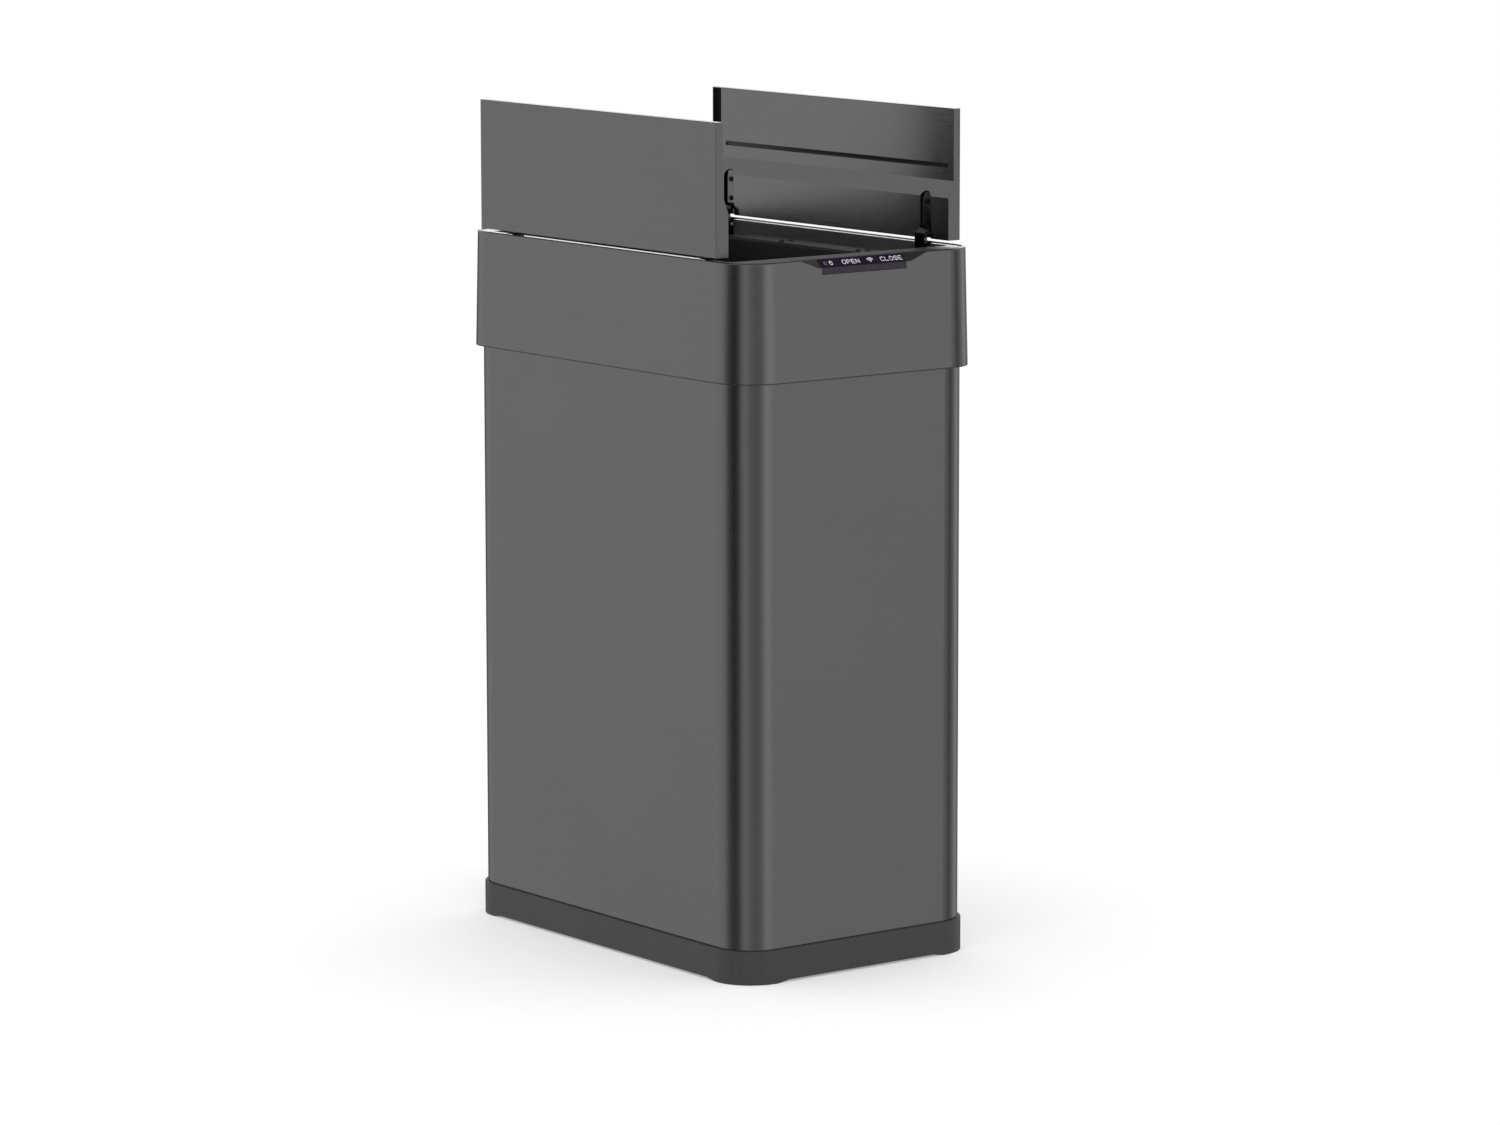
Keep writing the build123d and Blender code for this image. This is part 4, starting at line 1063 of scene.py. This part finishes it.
@dataclass
class Wing:
    """One lid wing with its hinge arms, shaft and gears.

    Attributes:
        side: Which long side it is hinged on.
        groove_top: Upper edge of the liner's groove below the wing's free edge.
        groove_foot: Deepest line of the groove below the wing's free edge.
        groove_face: The liner's thin face inside the wing's outer face.
        groove_depth: Depth of the groove.
        groove_margin: The dark strip's ends short of the liner's ends.
        groove_shade_thickness: Thickness of the dark strip in the groove, which paints the shade that falls
            there.
        groove_shade_lip: How far its upper edge stands out of the groove.
    """

    side: Side
    groove_top: float = 52.2 * MM
    groove_foot: float = 55.2 * MM
    groove_face: float = 8.0 * MM
    groove_depth: float = 1.2 * MM
    groove_margin: float = 8.0 * MM
    groove_shade_thickness: float = 0.15 * MM
    groove_shade_lip: float = 0.15 * MM * 0.2

    def build(self) -> None:
        """Dresses the wing's nodes and those of its drive."""
        word = self.side.word
        dress_node(f"wing_skin_{word}", COATED_STEEL)
        dress_node(f"wing_liner_{word}", BRUSHED_FILM)
        for end in ENDS:
            dress_node(f"hinge_arm_{end}_{word}", BLACK_NICKEL)
            dress_node(f"arm_screws_{end}_{word}", BLACK_OXIDE)
        dress_node(f"hinge_shaft_{word}", ZINC_PLATE)
        dress_node(f"hinge_pinion_{word}", ACETAL_RESIN)
        dress_node(f"drive_gear_{word}", ACETAL_RESIN)
        self.build_groove_shade()

    def build_groove_shade(self) -> None:
        """Adds a dark strip on the slanted upper face of the liner's groove: painted shade in the groove.
        """
        low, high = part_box(f"wing_liner_{self.side.word}")
        foot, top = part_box(f"wing_skin_{self.side.word}")
        sign = self.side.sign
        outer = top.x if sign > 0 else foot.x
        face = outer - sign * self.groove_face
        ends = (low.y + self.groove_margin, high.y - self.groove_margin)
        corners = [
            Vector((face + sign * depth, y, top.z - drop))
            for y in ends
            for depth, drop in (
                (0.0, self.groove_top), (self.groove_depth, self.groove_foot),
                (self.groove_depth - self.groove_shade_thickness, self.groove_foot), (-self.groove_shade_lip, self.groove_top),
            )
        ]
        faces = [[0, 1, 2, 3], [7, 6, 5, 4], [0, 4, 5, 1], [1, 5, 6, 2], [2, 6, 7, 3], [3, 7, 4, 0]]
        if sign < 0:
            faces = [f[::-1] for f in faces]
        # The strip is painted shade: a dark colour that stands in for the shade in the groove under its
        # upper lip.
        name = f"wing_painted_groove_shade_{self.side.word}"
        make_piece(name, (corners, faces), BLACK_PP, f"{self.side.word}_wing")


# ------------------------------------------------------------------ studio


@dataclass(frozen=True)
class Card:
    """One stretch of the cards round and above the bin that its steel mirrors.

    Attributes:
        bearing: Degrees anticlockwise from +X, or up from the skyline.
        level: Brightness, where 1 is the white of the sky.
    """

    bearing: float
    level: float


# Bearing or height in degrees, then level
CARDS_TABLE: tuple[Point, ...] = (
    (-180.0, 0.08), (-174.0, 0.03), (-167.0, 0.05), (-160.0, 0.16), (-150.0, 0.55),
    (-140.0, 0.70), (-130.0, 0.50), (-120.0, 0.40), (-110.0, 0.38), (-100.0, 0.42),
    (-90.0, 0.72), (-80.0, 1.02), (-70.0, 0.94), (-60.0, 0.75), (-52.0, 0.79), (-42.0, 0.55),
    (-34.0, 0.27), (-26.0, 0.24), (-12.0, 0.53), (5.0, 0.85), (20.0, 0.34), (40.0, 0.22),
    (50.0, 0.14), (62.0, 0.10), (78.0, 0.14), (88.0, 0.40), (102.0, 0.70), (127.0, 0.81),
    (145.0, 0.80), (156.0, 0.68), (166.0, 0.36), (175.0, 0.12),
)
SKY_TABLE: tuple[Point, ...] = (
    (0.0, 0.75), (15.0, 0.70), (32.0, 0.52), (46.0, 0.08), (64.0, 0.08), (80.0, 0.35),
)


@dataclass
class Studio:
    """Pale floor, soft lights, mirrored cards and the camera.

    Attributes:
        cards: Cards by bearing, which the steel mirrors as upright bands.
        sky: Levels above the skyline by height in degrees, which edges and flat tops mirror.
        backdrop: Direction of the lit backdrop, which flat tops mirror at a slant.
        backdrop_edge: Cosines of the angles at which the backdrop ends and is full.
        backdrop_level: Brightness of that backdrop.
        low_heights: Sines of the angles over which the cards give way to an even level below.
        low_level: That even level.
        fade_heights: Sines of the angles over which the cards fade towards their foot.
        fade: Share of the cards' level that is left at their foot.
        skyline: Sines of the angles over which the cards give way to the sky.
        sky_level: Brightness of the sky as diffuse surfaces see it.
        floor_radius: Radius of the floor.
        floor_steps: Straight bits round the floor.
        floor_colour: sRGB hex colour of the floor.
        floor_lit: Distances from the bin between which the floor turns from shaded to lit by itself.
        camera_place: Where the camera stands, in metres.
        camera_bearing: Degrees that it is turned to the right of +Y.
        camera_fall: Degrees that it looks down.
        camera_roll: Degrees that it is turned about its own line of sight.
        lens: Focal length in millimetres.
        sensor: Width of the sensor in millimetres.
        shift: Shift of the picture, as shares of its width.
    """

    cards: tuple[Card, ...] = tuple(Card(*pair) for pair in CARDS_TABLE)
    sky: tuple[Card, ...] = tuple(Card(*pair) for pair in SKY_TABLE)
    backdrop: tuple[float, float, float] = (0.60, 0.79, 0.13)
    backdrop_edge: Point = (0.965, 0.99)
    backdrop_level: float = 1.7
    low_heights: Point = (-0.23, -0.32)
    low_level: float = 0.55
    fade_heights: Point = (-0.21, -0.05)
    fade: float = 0.92
    skyline: Point = (0.02, 0.10)
    sky_level: float = 1.06
    floor_radius: float = 30.0
    floor_steps: int = 96
    floor_colour: str = "#FBFBFB"
    floor_lit: Point = (0.3, 1.3)
    camera_place: tuple[float, float, float] = (-3.27383, -4.36056, 1.19950)
    camera_bearing: float = 37.161
    camera_fall: float = 8.7245
    camera_roll: float = -0.086
    lens: float = 137.78
    sensor: float = 36.0
    shift: Point = (0.00363, -0.00221)

    def build_camera(self) -> None:
        """Stands the camera in its place and gives it to the scene."""
        data = bpy.data.cameras.new("camera")
        data.lens = self.lens
        data.sensor_width = self.sensor
        data.sensor_fit = "HORIZONTAL"
        data.shift_x, data.shift_y = self.shift
        data.clip_start, data.clip_end = 0.05, 100.0
        camera = bpy.data.objects.new("camera", data)
        bpy.context.scene.collection.objects.link(camera)
        turn = Matrix.Rotation(math.radians(-self.camera_bearing), 4, "Z")
        tilt = Matrix.Rotation(math.radians(90 - self.camera_fall), 4, "X")
        roll = Matrix.Rotation(math.radians(self.camera_roll), 4, "Z")
        camera.matrix_world = Matrix.Translation(self.camera_place) @ turn @ tilt @ roll
        bpy.context.scene.camera = camera

    def build_floor(self) -> None:
        """Lays a pale matt floor that the steel doesn't mirror, as the cards stand in for it."""
        rim = [(x, y, 0.0) for x, y in disc(0.0, 0.0, self.floor_radius, self.floor_steps)]
        mesh = bpy.data.meshes.new("floor")
        mesh.from_pydata(rim, [], [tuple(range(self.floor_steps))])
        floor = bpy.data.objects.new("floor", mesh)
        bpy.context.scene.collection.objects.link(floor)
        made = bpy.data.materials.new("matt_paper")
        made.use_nodes = True
        tree = made.node_tree
        tree.nodes.clear()
        place = add_node(tree, "ShaderNodeTexCoord").outputs["Object"]
        fibre = add_node(tree, "ShaderNodeTexNoise", {"Vector": place, "Scale": 40.0, "Detail": 3.0})
        tint = blend(tree, fibre.outputs[0], linear(self.floor_colour), linear(WHITE))
        matt = add_node(tree, "ShaderNodeBsdfDiffuse", {"Color": tint})
        lit = add_node(tree, "ShaderNodeEmission", {"Color": linear(WHITE), "Strength": 1.0})
        reach = add_node(tree, "ShaderNodeVectorMath", {0: place}, operation="LENGTH")
        fade = remap(tree, reach.outputs["Value"], self.floor_lit, (0.3, 1.0), smooth=True)
        both = add_node(tree, "ShaderNodeMixShader", {0: fade, 1: matt.outputs[0], 2: lit.outputs[0]})
        add_node(tree, "ShaderNodeOutputMaterial", {"Surface": both.outputs[0]})
        mesh.materials.append(made)
        floor.visible_glossy = False

    def add_ramp(
        self, tree: bpy.types.NodeTree, share: bpy.types.NodeSocket, cards: Sequence[Card], start: float,
        span: float,
    ) -> bpy.types.NodeSocket:
        """Adds a colour ramp that gives each card's level at its own angle.

        Args:
            tree: World's node tree.
            share: Socket that runs from 0 to 1 over the span.
            cards: Cards in order of angle.
            start: Angle at 0.
            span: Degrees from 0 to 1.

        Returns:
            Socket that gives the level.
        """
        ramp = add_node(tree, "ShaderNodeValToRGB", {0: share})
        ramp.color_ramp.interpolation = "EASE"
        stops = ramp.color_ramp.elements
        stops.remove(stops[-1])
        for i, card in enumerate(cards):
            place = (card.bearing - start) / span
            stop = stops[0] if i == 0 else stops.new(place)
            stop.position = place
            stop.color = (card.level, card.level, card.level, 1.0)
        return ramp.outputs[0]

    def build_world(self) -> None:
        """Makes the white sky, and the cards that only mirrored rays meet."""
        world = bpy.data.worlds.new("studio")
        bpy.context.scene.world = world
        world.use_nodes = True
        tree = world.node_tree
        tree.nodes.clear()
        way = add_node(tree, "ShaderNodeTexCoord").outputs["Generated"]
        axes = add_node(tree, "ShaderNodeSeparateXYZ", {0: way})
        height = axes.outputs[2]
        level = {0: axes.outputs[1], 1: axes.outputs[0]}
        bearing = add_node(tree, "ShaderNodeMath", level, operation="ARCTAN2")
        around = remap(tree, bearing.outputs[0], (-math.pi, math.pi))
        ring = self.add_ramp(tree, around, self.cards, -180.0, 360.0)
        fade = remap(tree, height, self.fade_heights, (self.fade, 1.0))
        faded = add_node(tree, "ShaderNodeVectorMath", {0: ring, "Scale": fade}, operation="SCALE")
        below = remap(tree, height, self.low_heights, smooth=True)
        walls = blend(tree, below, faded.outputs[0], (*[self.low_level] * 3, 1.0))
        rise = add_node(tree, "ShaderNodeMath", {0: height}, operation="ARCSINE")
        above = remap(tree, rise.outputs[0], (0.0, math.pi / 2))
        sky_cards = self.add_ramp(tree, above, self.sky, 0.0, 90.0)
        edge = remap(tree, height, self.skyline, smooth=True)
        mirrored = blend(tree, edge, walls, sky_cards)
        ways = {0: way, 1: self.backdrop}
        towards = add_node(tree, "ShaderNodeVectorMath", ways, operation="DOT_PRODUCT")
        spot = remap(tree, towards.outputs["Value"], self.backdrop_edge, smooth=True)
        glow = add_node(tree, "ShaderNodeMath", {0: spot, 1: edge}, operation="MULTIPLY")
        mirrored = blend(tree, glow.outputs[0], mirrored, (*[self.backdrop_level] * 3, 1.0))
        kind = add_node(tree, "ShaderNodeLightPath")
        cards = add_node(tree, "ShaderNodeBackground", {"Color": mirrored, "Strength": 1.0})
        sky = add_node(tree, "ShaderNodeBackground", {"Color": linear(WHITE), "Strength": self.sky_level})
        plain = add_node(tree, "ShaderNodeBackground", {"Color": linear(WHITE), "Strength": 1.0})
        mirror, camera = kind.outputs["Is Glossy Ray"], kind.outputs["Is Camera Ray"]
        lit = add_node(tree, "ShaderNodeMixShader", {0: mirror, 1: sky.outputs[0], 2: cards.outputs[0]})
        seen = add_node(tree, "ShaderNodeMixShader", {0: camera, 1: lit.outputs[0], 2: plain.outputs[0]})
        add_node(tree, "ShaderNodeOutputWorld", {"Surface": seen.outputs[0]})

    def add_softbox(self, name: str, place: Point, height: float, size: float, power: float) -> None:
        """Hangs a square soft light that faces the bin's middle.

        Args:
            name: Name of the light.
            place: Where it hangs, in X and Y.
            height: Height above the floor.
            size: Side of the square in metres.
            power: Power in watts.
        """
        data = bpy.data.lights.new(name, "AREA")
        data.shape = "SQUARE"
        data.size = size
        data.energy = power
        light = bpy.data.objects.new(name, data)
        light.location = (place[0], place[1], height)
        aim = Vector((0.0, 0.0, 0.4)) - light.location
        light.rotation_mode = "QUATERNION"
        light.rotation_quaternion = aim.to_track_quat("-Z", "Y")
        light.visible_glossy = False
        bpy.context.scene.collection.objects.link(light)

    def build(self) -> None:
        """Builds the studio and sets plain colour handling, so that hex colours come out as they are."""
        bpy.context.scene.view_settings.view_transform = "Standard"
        self.build_camera()
        self.build_floor()
        self.build_world()
        self.add_softbox("overhead", (0.0, 0.3), 2.6, 2.4, 12.0)


def main() -> None:
    """Builds the studio and every sub-assembly, and reports each piece."""
    logging.basicConfig(level=logging.INFO, format="%(name)s %(message)s")
    Studio().build()
    wings = [Wing(side) for side in Side]
    for assembly in (BinBody(), LidUnit(), SensorPanel(), Electronics(), BatteryBay(), *wings):
        assembly.build()
        LOG.info("%s built", type(assembly).__name__)


if __name__ == "__main__":
    main()
